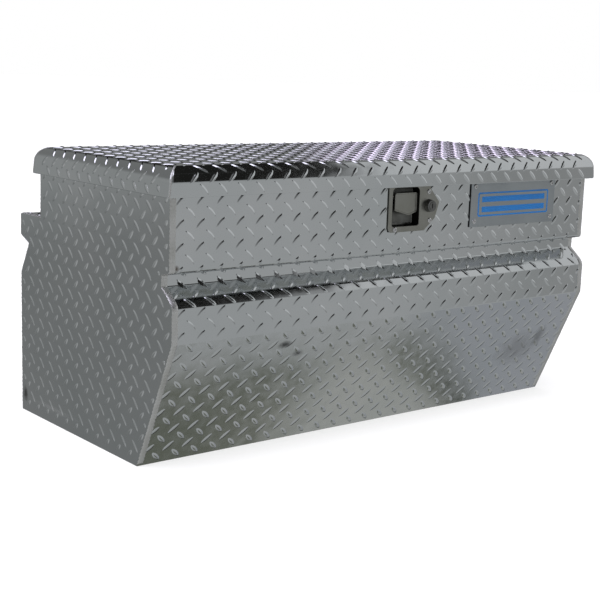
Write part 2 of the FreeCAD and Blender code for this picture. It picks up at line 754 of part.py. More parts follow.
def lock():
    """A key lock: fixed barrel, turning plug with a keyway, long cam and its nut."""
    front = "front_face - gasket - latch_plate"
    head = doc.addObject("Part::Cone", "lock_head_cone")
    head.setExpression("Radius1", bound("lock_head"))
    head.setExpression("Radius2", bound("lock_head - 1.5"))
    head.setExpression("Height", bound("lock_rise"))
    head.Placement = FreeCAD.Placement(Vector(0, 0, 0), FreeCAD.Rotation(Vector(0, 0, 1), Vector(0, -1, 0)))
    for letter, expression in zip("xyz", ("lock_across", front, "lock_up")):
        head.setExpression(f"Placement.Base.{letter}", bound(expression))
    shaft = cylinder("lock_shaft", "lock_body", "gasket + latch_plate + lock_depth", "lock_across", front,
                     "lock_up", Vector(0, 1, 0))
    whole = fuse("lock_blank", [head, shaft])
    bore = cylinder("lock_bore", "plug_radius + running", "lock_rise + gasket + latch_plate + lock_depth + 2",
                    "lock_across", f"{front} - lock_rise - 1", "lock_up", Vector(0, 1, 0))
    keep(cut("lock_tube", whole, bore), "lock_barrel")

    body = new_body("lock_plug")
    disc = [("lock_across", "lock_up", "plug_radius")]
    prism(body, "XZ_Plane", [], f"{front} - lock_rise - 0.5", "front_face + lock_depth + 0.5", disc)
    neck = hexagon("cam_hex", "lock_across", "lock_up")
    prism(body, "XZ_Plane", [neck], "front_face + lock_depth", "front_face + lock_depth + 8")
    keyway = rectangle("lock_across - 0.9", "lock_up - 4", "lock_across + 0.9", "lock_up + 4")
    prism(body, "XZ_Plane", [keyway], f"{front} - lock_rise - 0.5", f"{front} + 8", cut=True)
    keep(body, "lock_plug")

    body = new_body("lock_cam")
    hole = hexagon("cam_hex + running", "0", "0")
    arm = [("-7", "-7"), ("cam_reach - 5", "-5"), ("cam_reach", "-2"), ("cam_reach", "2"),
           ("cam_reach - 5", "5"), ("-7", "7")]
    prism(body, "XZ_Plane", [arm, hole], "0", "2")
    turn = FreeCAD.Rotation(Vector(0, -1, 0), value("cam_rest_angle"))
    body.Placement = FreeCAD.Placement(Vector(0, 0, 0), turn)
    for letter, expression in zip("xyz", ("lock_across", "front_face + lock_depth + 1", "lock_up")):
        body.setExpression(f"Placement.Base.{letter}", bound(expression))
    doc.recompute()
    keep(body, "lock_cam")

    body = new_body("lock_nut")
    flats = hexagon("nut_hex", "lock_across", "lock_up")
    hole = [("lock_across", "lock_up", "cam_hex + running")]
    prism(body, "XZ_Plane", [flats], "front_face + lock_depth + 3.2", "front_face + lock_depth + 6.5", hole)
    keep(body, "lock_nut")


def name_plate():
    body = new_body("name_plate")
    outline = rectangle("name_left", "name_low", "name_right", "name_high")
    feature = prism(body, "XZ_Plane", [outline], "front_face - name_plate - gasket", "front_face - gasket")
    round_edges(body, feature, "name_corner", upright(1))
    keep(body, "name_plate")
    body = new_body("name_plate_pads")
    pads = [rectangle(f"{left}", f"{low}", f"{left} + 16", f"{low} + 16")
            for left in ("name_left + 3", "name_right - 19") for low in ("name_low + 3", "name_high - 19")]
    prism(body, "XZ_Plane", pads[:1], "front_face - gasket", "front_face")
    row = []
    for index, corners in enumerate(pads):
        pad = body if index == 0 else new_body(f"name_plate_pad_{index}")
        if index:
            prism(pad, "XZ_Plane", [corners], "front_face - gasket", "front_face")
        row.append(pad)
    group("name_plate_spacers", row)
    row = []
    for index, (across, up) in enumerate([(x, z) for x in ("name_left + 10", "name_right - 10")
                                          for z in ("name_low + 10", "name_high - 10")]):
        row.append(rivet(f"name_rivet_{index}", across, "front_face - gasket - name_plate", up,
                         Vector(0, -1, 0), "3.5", "1.2", "1.6", "name_plate + gasket + sheet + 1"))
    group("name_plate_rivets", row)


def strut(side, name):
    """One gas strut at an end of the box, with the brackets that hold it.

    The rod is below and turns on the lower stud; the barrel slides on it and carries the upper eye.
    """
    inward = Vector(-side, 0, 0)
    low = Vector(side * value("strut_across"), value("strut_low_y"), value("strut_low_z"))
    high = Vector(side * value("strut_across"), value("strut_high_y"), value("strut_high_z"))
    along = (high - low).normalize()
    reach = (high - low).Length
    eye_half = 6.0

    def on_line(item, distance):
        item.Placement = FreeCAD.Placement(low + along * distance, FreeCAD.Rotation(Vector(0, 0, 1), along))
        return item

    def tube(label, radius, length, distance):
        item = doc.addObject("Part::Cylinder", label)
        item.setExpression("Radius", bound(radius))
        item.Height = length
        return on_line(item, distance)

    def eye(label, centre):
        item = doc.addObject("Part::Cylinder", label)
        item.setExpression("Radius", bound("strut_eye"))
        item.Height = 2 * eye_half
        item.Placement = FreeCAD.Placement(centre + inward * -eye_half, FreeCAD.Rotation(Vector(0, 0, 1), inward))
        return item

    barrel_low = 14.0
    barrel_top = reach - 9.0
    piston_at = reach - 30.0
    rod = fuse(f"{name}_rod_blank", [eye(f"{name}_low_eye", low), tube(f"{name}_stem", "strut_rod", piston_at, 0),
                                     tube(f"{name}_piston", "strut_piston", 8.0, piston_at)])
    hole = doc.addObject("Part::Cylinder", f"{name}_eye_bore")
    hole.setExpression("Radius", bound("strut_stud + running"))
    hole.Height = 2 * eye_half + 2
    hole.Placement = FreeCAD.Placement(low + inward * -(eye_half + 1), FreeCAD.Rotation(Vector(0, 0, 1), inward))
    keep(cut(f"{name}_rod_cut", rod, hole), f"{name}_rod")

    shell = fuse(f"{name}_barrel_blank", [eye(f"{name}_high_eye", high),
                                          tube(f"{name}_neck", "strut_rod + 1", 9.0, reach - 9.0),
                                          tube(f"{name}_outer", "strut_barrel", barrel_top - barrel_low, barrel_low)])
    inner = tube(f"{name}_inner", "strut_bore", barrel_top - barrel_low - 2.0 + 1.0, barrel_low - 1.0)
    keep(cut(f"{name}_barrel_cut", shell, inner), f"{name}_barrel")
    plug = tube(f"{name}_gland_outer", "strut_bore", 12.0, barrel_low)
    passage = tube(f"{name}_gland_bore", "strut_rod + running", 14.0, barrel_low - 1.0)
    keep(cut(f"{name}_gland_cut", plug, passage), f"{name}_gland")

    base = new_body(f"{name}_body_bracket")
    wall = ("sheet - body_half", "sheet - body_half + 2") if side < 0 else ("body_half - sheet - 2", "body_half - sheet")
    foot = rectangle("strut_low_y - 20", "strut_low_z - 25", "strut_low_y + 20", "strut_low_z + 25")
    prism(base, "YZ_Plane", [foot], *wall)
    stand = ("sheet - body_half + 2", "-strut_across - 10") if side < 0 else ("strut_across + 10", "body_half - sheet - 2")
    prism(base, "YZ_Plane", [], *stand, [("strut_low_y", "strut_low_z", "strut_eye + 1")])
    stub = ("-strut_across - 10", "-strut_across + 8") if side < 0 else ("strut_across - 8", "strut_across + 10")
    prism(base, "YZ_Plane", [], *stub, [("strut_low_y", "strut_low_z", "strut_stud")])
    keep(base, f"{name}_body_bracket")

    top = "lid_height - sheet"
    hanger = new_body(f"{name}_lid_bracket")
    plate = [("strut_high_y - 12", "strut_high_z - 9"), ("strut_high_y + 12", "strut_high_z - 9"),
             ("strut_high_y + 20", f"{top} - 2"), ("strut_high_y - 20", f"{top} - 2")]
    cheek = ("-strut_across - 16", "-strut_across - 14") if side < 0 else ("strut_across + 14", "strut_across + 16")
    prism(hanger, "YZ_Plane", [plate], *cheek)
    pin = ("-strut_across - 14", "-strut_across - 8") if side < 0 else ("strut_across + 8", "strut_across + 14")
    prism(hanger, "YZ_Plane", [], *pin, [("strut_high_y", "strut_high_z", "strut_stud")])
    near, far = (cheek[0], "-strut_across + 8") if side < 0 else ("strut_across - 8", cheek[1])
    flange = rectangle(near, "strut_high_y - 20", far, "strut_high_y + 20")
    prism(hanger, "XY_Plane", [flange], f"{top} - 2", top)
    keep(hanger, f"{name}_lid_bracket")


def check_and_write():
    """Stop on any failed feature or bad solid, then write one file for each sub-part."""
    doc.recompute()
    failed = [item.Name for item in doc.Objects if {"Invalid", "Error"} & set(item.State)]
    if failed:
        raise RuntimeError(f"features failed: {failed}")
    os.makedirs("parts", exist_ok=True)
    labels = [item.Label for item in nodes]
    if len(set(labels)) != len(labels):
        raise RuntimeError("two sub-parts share a label")
    whole = FreeCAD.BoundBox()
    for item in nodes:
        shape = item.Shape
        if shape.isNull() or not shape.isValid() or not shape.Solids:
            raise RuntimeError(f"{item.Label} is not a valid solid")
        whole.add(shape.BoundBox)
        shape.exportStep(f"parts/{item.Label}.step")
        print(f"{item.Label:24s} solids {len(shape.Solids):2d}  volume {shape.Volume:12.1f}")
    print(f"{len(nodes)} sub-parts, box {whole.XLength:.1f} x {whole.YLength:.1f} x {whole.ZLength:.1f}",
          f"from {whole.XMin:.2f} {whole.YMin:.2f} {whole.ZMin:.2f}")


front_panel()
rear_panel()
floor_panel()
end_panel("left_end_panel", "-body_half", "sheet - body_half", "-body_half", "rim_flange - body_half")
end_panel("right_end_panel", "body_half - sheet", "body_half", "body_half - rim_flange", "body_half")
corner_welds()
lid_seal()
lid_skin()
lid_channel("front_lid_channel", "front_channel")
lid_channel("rear_lid_channel", "rear_channel")
hinge()
hinge_rivets()
latch_dish()
latch_gasket()
latch_screws()
paddle()
pawl()
striker()
lock()
name_plate()
strut(-1, "left_strut")
strut(1, "right_strut")
check_and_write()
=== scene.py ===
"""Looks for the truck tool box: tread-plate sheets with raised lugs, weld beads, latch, name plate and studio.

Lengths are in millimetres unless a name ends in _M; Parts.mesh turns them into metres.
"""
import json
import math

import bmesh
import bpy
import numpy as np
from mathutils import Matrix, Vector
from mathutils.geometry import tessellate_polygon

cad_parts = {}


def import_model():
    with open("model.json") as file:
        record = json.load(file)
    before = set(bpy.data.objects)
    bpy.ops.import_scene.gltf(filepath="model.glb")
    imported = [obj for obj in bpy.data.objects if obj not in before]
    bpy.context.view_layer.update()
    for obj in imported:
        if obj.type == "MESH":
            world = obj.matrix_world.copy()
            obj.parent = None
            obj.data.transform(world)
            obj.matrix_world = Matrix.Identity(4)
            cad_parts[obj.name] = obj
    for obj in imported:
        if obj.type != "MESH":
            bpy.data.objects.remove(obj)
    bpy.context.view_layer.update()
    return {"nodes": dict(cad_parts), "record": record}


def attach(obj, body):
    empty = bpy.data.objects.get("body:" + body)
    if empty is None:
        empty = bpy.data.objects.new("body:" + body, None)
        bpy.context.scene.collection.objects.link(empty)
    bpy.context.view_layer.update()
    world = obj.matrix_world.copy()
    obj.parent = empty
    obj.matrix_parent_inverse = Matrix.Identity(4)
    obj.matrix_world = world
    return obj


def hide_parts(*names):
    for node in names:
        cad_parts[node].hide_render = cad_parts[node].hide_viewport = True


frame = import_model()

MM = 0.001
scene = bpy.context.scene


# ---------------------------------------------------------------- materials

def node_of(tree, kind, **settings):
    """A new shader node with its properties and inputs set."""
    node = tree.nodes.new(kind)
    for name, setting in settings.items():
        if name in node.inputs:
            node.inputs[name].default_value = setting
        else:
            setattr(node, name, setting)
    return node


def join(tree, out, into):
    tree.links.new(out, into)


def metal(name, colour, rough, spread=0.05, grain=(18.0, 18.0, 18.0), depth=0.0, tint=None, patch=12.0,
          metallic=1.0, wave=0.0, coat=0.0):
    """A procedural metal: grain in the roughness and bump, slow drift of colour between two tints."""
    made = bpy.data.materials.new(name)
    made.use_nodes = True
    tree = made.node_tree
    shader = tree.nodes["Principled BSDF"]
    shader.inputs["Metallic"].default_value = metallic
    shader.inputs["Coat Weight"].default_value = coat
    place = node_of(tree, "ShaderNodeTexCoord")
    stretch = node_of(tree, "ShaderNodeMapping", Scale=grain)
    join(tree, place.outputs["Object"], stretch.inputs["Vector"])
    fine = node_of(tree, "ShaderNodeTexNoise", Scale=60.0, Detail=5.0, Roughness=0.6)
    join(tree, stretch.outputs["Vector"], fine.inputs["Vector"])
    slow = node_of(tree, "ShaderNodeTexNoise", Scale=patch, Detail=3.0, Roughness=0.55)
    join(tree, place.outputs["Object"], slow.inputs["Vector"])
    ramp = node_of(tree, "ShaderNodeMix", data_type="RGBA")
    ramp.inputs["A"].default_value = (*colour, 1)
    ramp.inputs["B"].default_value = (*(tint or [c * 0.86 for c in colour]), 1)
    blend = node_of(tree, "ShaderNodeMapRange")
    blend.inputs["From Min"].default_value = 0.35
    blend.inputs["From Max"].default_value = 0.7
    join(tree, slow.outputs["Fac"], blend.inputs["Value"])
    join(tree, blend.outputs["Result"], ramp.inputs["Factor"])
    join(tree, ramp.outputs["Result"], shader.inputs["Base Color"])
    span = node_of(tree, "ShaderNodeMapRange")
    span.inputs["From Min"].default_value = 0.3
    span.inputs["From Max"].default_value = 0.7
    span.inputs["To Min"].default_value = max(0.03, rough - spread)
    span.inputs["To Max"].default_value = rough + spread
    join(tree, fine.outputs["Fac"], span.inputs["Value"])
    join(tree, span.outputs["Result"], shader.inputs["Roughness"])
    if depth or wave:
        bump = node_of(tree, "ShaderNodeBump", Strength=1.0)
        bump.inputs["Distance"].default_value = depth
        join(tree, fine.outputs["Fac"], bump.inputs["Height"])
        join(tree, bump.outputs["Normal"], shader.inputs["Normal"])
        if wave:
            ripple = node_of(tree, "ShaderNodeTexNoise", Scale=9.0, Detail=2.0, Roughness=0.5)
            join(tree, place.outputs["Object"], ripple.inputs["Vector"])
            slope = node_of(tree, "ShaderNodeBump", Strength=1.0)
            slope.inputs["Distance"].default_value = wave
            join(tree, ripple.outputs["Fac"], slope.inputs["Height"])
            join(tree, slope.outputs["Normal"], bump.inputs["Normal"])
    return made


def marks(made, spots):
    """Dull stains on a material: each is a place and a reach in metres, a colour and a strength."""
    tree = made.node_tree
    shader = tree.nodes["Principled BSDF"]
    place = node_of(tree, "ShaderNodeTexCoord")
    ragged = node_of(tree, "ShaderNodeTexNoise", Scale=55.0, Detail=4.0, Roughness=0.65)
    join(tree, place.outputs["Object"], ragged.inputs["Vector"])
    for centre, reach, colour, strength in spots:
        away = node_of(tree, "ShaderNodeVectorMath", operation="SUBTRACT")
        join(tree, place.outputs["Object"], away.inputs[0])
        away.inputs[1].default_value = centre
        scaled = node_of(tree, "ShaderNodeVectorMath", operation="DIVIDE")
        join(tree, away.outputs[0], scaled.inputs[0])
        scaled.inputs[1].default_value = reach
        length = node_of(tree, "ShaderNodeVectorMath", operation="LENGTH")
        join(tree, scaled.outputs[0], length.inputs[0])
        edge = node_of(tree, "ShaderNodeMath", operation="ADD")
        join(tree, length.outputs["Value"], edge.inputs[0])
        join(tree, ragged.outputs["Fac"], edge.inputs[1])
        cover = node_of(tree, "ShaderNodeMapRange")
        join(tree, edge.outputs[0], cover.inputs["Value"])
        cover.inputs["From Min"].default_value = 1.45
        cover.inputs["From Max"].default_value = 0.75
        cover.inputs["To Max"].default_value = strength
        for name, value in (("Base Color", (*colour, 1)), ("Roughness", 0.45)):
            into = shader.inputs[name]
            mix = node_of(tree, "ShaderNodeMix", data_type="RGBA" if name == "Base Color" else "FLOAT")
            join(tree, cover.outputs["Result"], mix.inputs["Factor"])
            slots = [socket for socket in mix.inputs if socket.enabled and socket.name in ("A", "B")]
            join(tree, into.links[0].from_socket, slots[0])
            slots[1].default_value = value
            join(tree, [socket for socket in mix.outputs if socket.enabled][0], into)


def rubber(name, colour):
    """Matt black rubber with fine pores."""
    return metal(name, colour, 0.8, 0.1, depth=0.0001, metallic=0.0)


def tread_metal(name):
    """Bright rolled aluminium, a little wavy, that mirrors its surroundings."""
    return metal(name, (0.66, 0.675, 0.68), 0.105, 0.035, (1, 1, 1), 0.000012,
                 (0.60, 0.625, 0.63), 5.0, wave=0.0006)


TREAD = tread_metal("tread_aluminium")
FRONT_TREAD = tread_metal("front_tread_aluminium")
# stains: place and reach in metres, colour, strength
marks(FRONT_TREAD, [
    ((-0.455, -0.2335, 0.324), (0.007, 0.01, 0.006), (0.10, 0.07, 0.045), 0.8),
    ((-0.245, -0.225, 0.186), (0.017, 0.03, 0.008), (0.05, 0.05, 0.05), 0.85),
    ((-0.212, -0.218, 0.166), (0.014, 0.03, 0.008), (0.07, 0.07, 0.07), 0.7),
    ((0.35, -0.19, 0.105), (0.07, 0.06, 0.045), (0.36, 0.37, 0.40), 0.6),
    ((0.40, -0.20, 0.125), (0.02, 0.03, 0.03), (0.22, 0.23, 0.25), 0.6),
])
marks(TREAD, [
    ((-0.467, 0.234, 0.032), (0.02, 0.010, 0.017), (0.05, 0.045, 0.04), 0.85),
    ((-0.467, 0.13, 0.026), (0.02, 0.10, 0.007), (0.80, 0.81, 0.82), 0.5),
])
WELD = metal("weld_aluminium", (0.74, 0.74, 0.73), 0.44, 0.08, (3, 3, 3), 0.00001, (0.62, 0.62, 0.60), 30.0)
PLAIN = metal("mill_aluminium", (0.62, 0.63, 0.64), 0.33, 0.07, (1, 6, 6), 0.00001)
RUBBER = rubber("foam_rubber", (0.012, 0.012, 0.012))
HINGE = metal("brushed_stainless", (0.55, 0.55, 0.54), 0.3, 0.08, (0.3, 8, 8), 0.000008)
RIVET = metal("rivet_aluminium", (0.72, 0.72, 0.72), 0.25, 0.06)
LATCH = metal("latch_stainless", (0.36, 0.36, 0.33), 0.34, 0.06, (1, 5, 9), 0.00001,
              (0.31, 0.31, 0.275), 30.0)
# painted shade: the pan's walls are near black and its floor is darker than the plate, standing in for the
# shade inside the recess
PAN_WALL_PAINTED_SHADE = metal("pan_wall_painted_shade", (0.035, 0.035, 0.033), 0.5, 0.08, (2, 2, 2), 0.00001,
                 (0.02, 0.02, 0.02), 40.0)
PAN_FLOOR = metal("pan_floor_painted_shade", (0.27, 0.275, 0.26), 0.4, 0.08, (2, 2, 2), 0.00001,
                  (0.15, 0.15, 0.14), 22.0)
ZINC = metal("zinc_plated_steel", (0.55, 0.54, 0.48), 0.35, 0.08, (2, 2, 2), 0.00001,
             (0.48, 0.44, 0.33), 60.0)
SPRING = metal("spring_wire", (0.42, 0.42, 0.42), 0.3, 0.05)
LOCK = metal("lock_chrome", (0.24, 0.24, 0.235), 0.2, 0.05, (2, 2, 2), 0.000005,
             (0.16, 0.16, 0.155), 60.0)
BADGE = metal("badge_brushed", (0.46, 0.49, 0.505), 0.36, 0.07, (0.5, 8, 8), 0.00001,
              (0.39, 0.42, 0.44), 14.0)
BLACK = metal("black_paint", (0.015, 0.015, 0.016), 0.28, 0.06, (2, 2, 2), 0.00002, metallic=0.0, coat=0.4)
CHROME = metal("ground_rod", (0.62, 0.62, 0.63), 0.12, 0.04, (1, 12, 12))
BLUE = metal("blue_print", (0.0, 0.13, 0.40), 0.45, 0.06, (2, 2, 2), 0.00001,
             (0.0, 0.11, 0.35), 20.0, metallic=0.0)

SLOT_LOOKS = {
    "tread_sheet": TREAD, "weld": WELD, "plain_sheet": PLAIN, "seal_rubber": RUBBER, "hinge_steel": HINGE,
    "rivet": RIVET, "latch_steel": LATCH, "zinc_steel": ZINC, "spring_steel": SPRING, "lock_metal": LOCK,
    "name_plate_metal": BADGE, "strut_black": BLACK, "strut_rod": CHROME,
}
slot_of = {row["node"]: row["material_slot"] for row in frame["record"]["subparts"]}
body_of_node = {name: body for body, names in frame["record"]["behaviour"]["bodies"].items() for name in names}
WELD_REACH_M = 0.00001
EDGE_BEVEL_M = 0.0003
for name, item in frame["nodes"].items():
    item.data.materials.clear()
    item.data.materials.append(SLOT_LOOKS[slot_of[name]])
    weld = item.modifiers.new("weld", "WELD")
    weld.merge_threshold = WELD_REACH_M
    soften = item.modifiers.new("soft_edges", "BEVEL")
    soften.width = EDGE_BEVEL_M
    soften.segments = 2
    soften.limit_method = "ANGLE"
    soften.angle_limit = math.radians(40)
    soften.harden_normals = True


# ---------------------------------------------------------------- making pieces

def piece(name, parts, look, nodes, smooth=35):
    """A finished piece that stands for CAD nodes and rides on their body, smooth up to an angle in degrees."""
    mesh = parts.mesh(name)
    made = bpy.data.objects.new(name, mesh)
    scene.collection.objects.link(made)
    mesh.materials.clear()
    mesh.materials.append(look)
    mesh.shade_smooth()
    mesh.set_sharp_from_angle(angle=math.radians(smooth))
    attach(made, body_of_node[nodes[0]])
    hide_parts(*nodes)
    return made


class Parts:
    """Collects points and faces of several closed shells for one mesh."""

    def __init__(self):
        self.points, self.faces, self.count = [], [], 0

    def add(self, points, faces):
        points = np.asarray(points, float).reshape(-1, 3)
        self.points.append(points)
        self.faces.extend([[index + self.count for index in face] for face in faces])
        self.count += len(points)

    def mesh(self, name):
        made = bpy.data.meshes.new(name)
        made.from_pydata((np.concatenate(self.points) * MM).tolist(), [], self.faces)
        work = bmesh.new()
        work.from_mesh(made)
        bmesh.ops.dissolve_degenerate(work, dist=1e-6, edges=work.edges)
        bmesh.ops.recalc_face_normals(work, faces=work.faces)
        work.to_mesh(made)
        work.free()
        return made


# ---------------------------------------------------------------- folded sheets

BEND = 3.0
SHEET = 1.6


class Fold:
    """A bent line of (y, z) corners, with a third value where the fold is not the usual one.

    Its left side is the inside of the box.
    """

    def __init__(self, corners, step=7.5):
        special = [c[2] if len(c) > 2 else None for c in corners]
        corners = [np.array(c[:2], float) for c in corners]
        rows, self.starts, travelled = [], [], 0.0
        last = corners[0]
        for index, corner in enumerate(corners):
            ahead = corners[min(index + 1, len(corners) - 1)] - corner
            behind = corner - corners[max(index - 1, 0)]
            if index in (0, len(corners) - 1):
                way = ahead if index == 0 else behind
                way = way / np.linalg.norm(way)
                travelled += np.linalg.norm(corner - last)
                rows.append((travelled, *corner, way[1], -way[0]))
                self.starts.append(travelled)
                continue
            before, after = behind / np.linalg.norm(behind), ahead / np.linalg.norm(ahead)
            turn = math.atan2(before[0] * after[1] - before[1] * after[0], before @ after)
            radius = special[index] or (BEND + SHEET if turn > 0 else BEND)
            reach = radius * math.tan(abs(turn) / 2)
            start = corner - before * reach
            travelled += np.linalg.norm(start - last)
            side = 1 if turn > 0 else -1
            centre = start + side * radius * np.array([-before[1], before[0]])
            normal = np.array([before[1], -before[0]])
            rows.append((travelled - 0.4, *(start - before * 0.4), *normal))
            steps = max(2, int(math.ceil(math.degrees(abs(turn)) / step)))
            for k in range(steps + 1):
                angle = turn * k / steps
                c, s = math.cos(angle), math.sin(angle)
                spun = np.array([normal[0] * c - normal[1] * s, normal[0] * s + normal[1] * c])
                rows.append((travelled + radius * abs(angle), *(centre + side * radius * spun), *spun))
            travelled += radius * abs(turn)
            last = corner + after * reach
            rows.append((travelled + 0.4, *(last + after * 0.4), *spun))
            self.starts.append(travelled - reach)
        self.rows = np.array(rows)
        self.length = travelled

    def place(self, along, x, height):
        """Points above the sheet: distance along the line, place across it and height over it."""
        t = self.rows[:, 0]
        y, z, ny, nz = (np.interp(along, t, self.rows[:, column]) for column in range(1, 5))
        size = np.hypot(ny, nz)
        return np.stack([x + 0 * y, y + height * ny / size, z + height * nz / size], -1)


def lug_shells(centres, tilt, place, inside, length=25.0, width=6.6, height=1.2, least=7.0):
    """Raised spindle-shaped lugs, cut short where they would cross an edge of the sheet."""
    around = 12
    phi = np.arange(around) * 2 * math.pi / around
    out_a, out_b = np.cos(phi), np.sign(np.sin(phi)) * np.abs(np.sin(phi)) ** 1.2
    levels = [1.0, 0.86, 0.66, 0.4, 0.14]
    rings = [(1.03, 1.06, -0.25)] + [(0.55 + 0.45 * x ** 0.8, x, height * (1 - x * x) ** 1.4) for x in levels]
    steps = np.linspace(-length / 2, length / 2, 25)
    points, faces, count = [], [], 0
    for s, t in centres:
        fits = inside(s + steps * math.cos(tilt), t + steps * math.sin(tilt))
        if not fits.any():
            continue
        middle = int(np.argmin(np.where(fits, np.abs(steps), 99)))
        low = high = middle
        while low > 0 and fits[low - 1]:
            low -= 1
        while high < len(steps) - 1 and fits[high + 1]:
            high += 1
        span = steps[high] - steps[low]
        if span < least:
            continue
        mid = (steps[high] + steps[low]) / 2
        for wide, slim, rise in rings:
            a = mid + span / 2 * wide * out_a
            b = width / 2 * slim * out_b
            points.append(np.stack([s + a * math.cos(tilt) - b * math.sin(tilt),
                                    t + a * math.sin(tilt) + b * math.cos(tilt),
                                    np.full(around, rise)], -1))
        for ring in range(len(rings) - 1):
            base = count + ring * around
            for k in range(around):
                n = (k + 1) % around
                faces.append([base + k, base + n, base + around + n, base + around + k])
        faces.append([count + k for k in reversed(range(around))])
        faces.append([count + (len(rings) - 1) * around + k for k in range(around)])
        count += len(rings) * around
    flat = np.concatenate(points)
    return place(flat[:, 0], flat[:, 1], flat[:, 2]), faces


def lattice(low, high, pitch, phase):
    """All places phase + n * pitch between low and high."""
    first = math.ceil((low - phase) / pitch)
    return [phase + n * pitch for n in range(first, int(math.floor((high - phase) / pitch)) + 1)]


def strip(parts, fold, half, hole=None):
    """The folded sheet as a closed shell, with an optional hole (x low, x high, t low, t high)."""
    t = fold.rows[:, 0]
    xs = [-half, half]
    if hole:
        xs = [-half, hole[0], hole[1], half]
        t = np.unique(np.concatenate([t, hole[2:]]))
    nx, nt = len(xs), len(t)
    outer = np.concatenate([fold.place(t, np.full(nt, x), 0.0) for x in xs])
    inner = np.concatenate([fold.place(t, np.full(nt, x), -SHEET) for x in xs])
    faces = []
    open_cell = set()
    for i in range(nx - 1):
        for k in range(nt - 1):
            if hole and i == 1 and t[k] >= hole[2] - 1e-6 and t[k + 1] <= hole[3] + 1e-6:
                open_cell.add((i, k))
                continue
            a, b = i * nt + k, (i + 1) * nt + k
            faces.append([a, b, b + 1, a + 1])
            m = nx * nt
            faces.append([m + a, m + a + 1, m + b + 1, m + b])
    edges = {}
    for face in list(faces):
        for n, a in enumerate(face):
            b = face[(n + 1) % 4]
            if (b, a) in edges:
                del edges[(b, a)]
            else:
                edges[(a, b)] = True
    m = nx * nt
    for a, b in edges:
        if a < m and b < m:
            faces.append([b, a, a + m, b + m])
    parts.add(np.concatenate([outer, inner]), faces)


RIM = 462.0
FACE, REAR_FACE, FLANGE = -233.5, 172.0, 20.0
FRONT = [(FACE + FLANGE, RIM), (FACE, RIM), (FACE, 317.5), (-212.5, 313), (-212.5, 294.6),
         (-242.5, 270.3, 16.0), (-242.5, 212), (-147, 0)]
REAR = [(246.5, 0), (246.5, 250.5), (216.5, 304.5), (246.5, 316.5), (246.5, 354.5), (REAR_FACE, 354.5),
        (REAR_FACE, RIM), (REAR_FACE - FLANGE, RIM)]
BODY_HALF = 467.0
INNER_HALF = BODY_HALF - SHEET
PITCH = 34.7                           # between lugs of one lean on the rear and the ends
FRONT_STEP, FRONT_ROW = 36.35, 35.0    # along the length and down the front
FIRST_ROW, FIRST_STEP = 423.4, -412.6  # a lug near the front's upper left corner
RIDGE_TO_ROW = 14.3                    # from the ridge below the groove down to the next row
SKEW = 0.012                           # how far the front's rows drift to the left on their way down
REAR_FIRST = -407.7
EDGE = 6.0                             # bare metal along the sheets' edges

front_fold = Fold(FRONT)
rear_fold = Fold(REAR)


def front_along(z):
    """Distance along the front sheet of a height on its upper face."""
    return front_fold.starts[1] + RIM - z


parts = Parts()
pan_hole = (-33.2, 33.2, front_along(430.2), front_along(360.8))
strip(parts, front_fold, INNER_HALF, pan_hole)


def on_front(s, t):
    clear = (np.abs(s) < INNER_HALF - EDGE) & (t > 4) & (t < front_fold.length - 3)
    pan = (s > pan_hole[0] - 3) & (s < pan_hole[1] + 3) & (t > pan_hole[2] - 3) & (t < pan_hole[3] + 3)
    shaft = np.hypot(s - 53, t - front_along(395.5)) < 12
    return clear & ~pan & ~shaft


def front_rows(part):
    """The rows of lugs above the groove and below it, where the pattern is a little out of step."""
    valley, ridge = front_fold.starts[4] - 9, front_fold.starts[5]
    shift = part * FRONT_ROW
    above = lattice(0, front_fold.length, FRONT_ROW, front_along(FIRST_ROW) + shift)
    below = lattice(0, front_fold.length, FRONT_ROW, ridge + RIDGE_TO_ROW + shift)
    return [t for t in above if t < valley] + [t for t in below if t >= valley]


# seen from the front, the distance along the sheet grows downwards, so the / family falls in (s, t)
for tilt, part in ((-math.pi / 4, 0.0), (math.pi / 4, 0.5)):
    centres = [(s, t) for t in front_rows(part)
               for s in lattice(-INNER_HALF, INNER_HALF, FRONT_STEP,
                                FIRST_STEP + part * FRONT_STEP - SKEW * (t - front_along(FIRST_ROW)))]
    parts.add(*lug_shells(centres, tilt, lambda s, t, h: front_fold.place(t, s, h), on_front,
                          length=24.0, width=7.8, height=0.78))
piece("front_tread", parts, FRONT_TREAD, ["front_panel"])

parts = Parts()
strip(parts, rear_fold, INNER_HALF)


def on_rear(s, t):
    return (np.abs(s) < INNER_HALF - EDGE) & (t > 3) & (t < rear_fold.length - FLANGE - 4)


for tilt, shift in ((-math.pi / 4, 0.0), (math.pi / 4, PITCH / 2)):
    centres = [(s, t) for t in lattice(0, rear_fold.length, PITCH, 18 + shift)
               for s in lattice(-INNER_HALF, INNER_HALF, PITCH, REAR_FIRST + shift)]
    parts.add(*lug_shells(centres, tilt, lambda s, t, h: rear_fold.place(t, s, h), on_rear))
piece("rear_tread", parts, TREAD, ["rear_panel"])


# ---------------------------------------------------------------- end sheets

def end_outline(inset=0.0):
    """The end's outline as (y, z) points, folded like the front and rear sheets, moved in by inset."""
    front = front_fold.rows[front_fold.rows[:, 0] > FLANGE + 4][:, 1:]
    rear = rear_fold.rows[rear_fold.rows[:, 0] < rear_fold.length - FLANGE - 4][:, 1:]
    both = np.concatenate([[[FACE, RIM, -1, 0]], front, rear, [[REAR_FACE, RIM, 1, 0]]])
    return both[:, :2] - inset * both[:, 2:]


def in_polygon(polygon, y, z):
    """Which of the places lie inside the outline."""
    found = np.zeros(np.shape(y), bool)
    for (y0, z0), (y1, z1) in zip(polygon, np.roll(polygon, -1, 0)):
        crosses = (z0 > z) != (z1 > z)
        found ^= crosses & (y < (y1 - y0) * (z - z0) / (z1 - z0 + 1e-9) + y0)
    return found


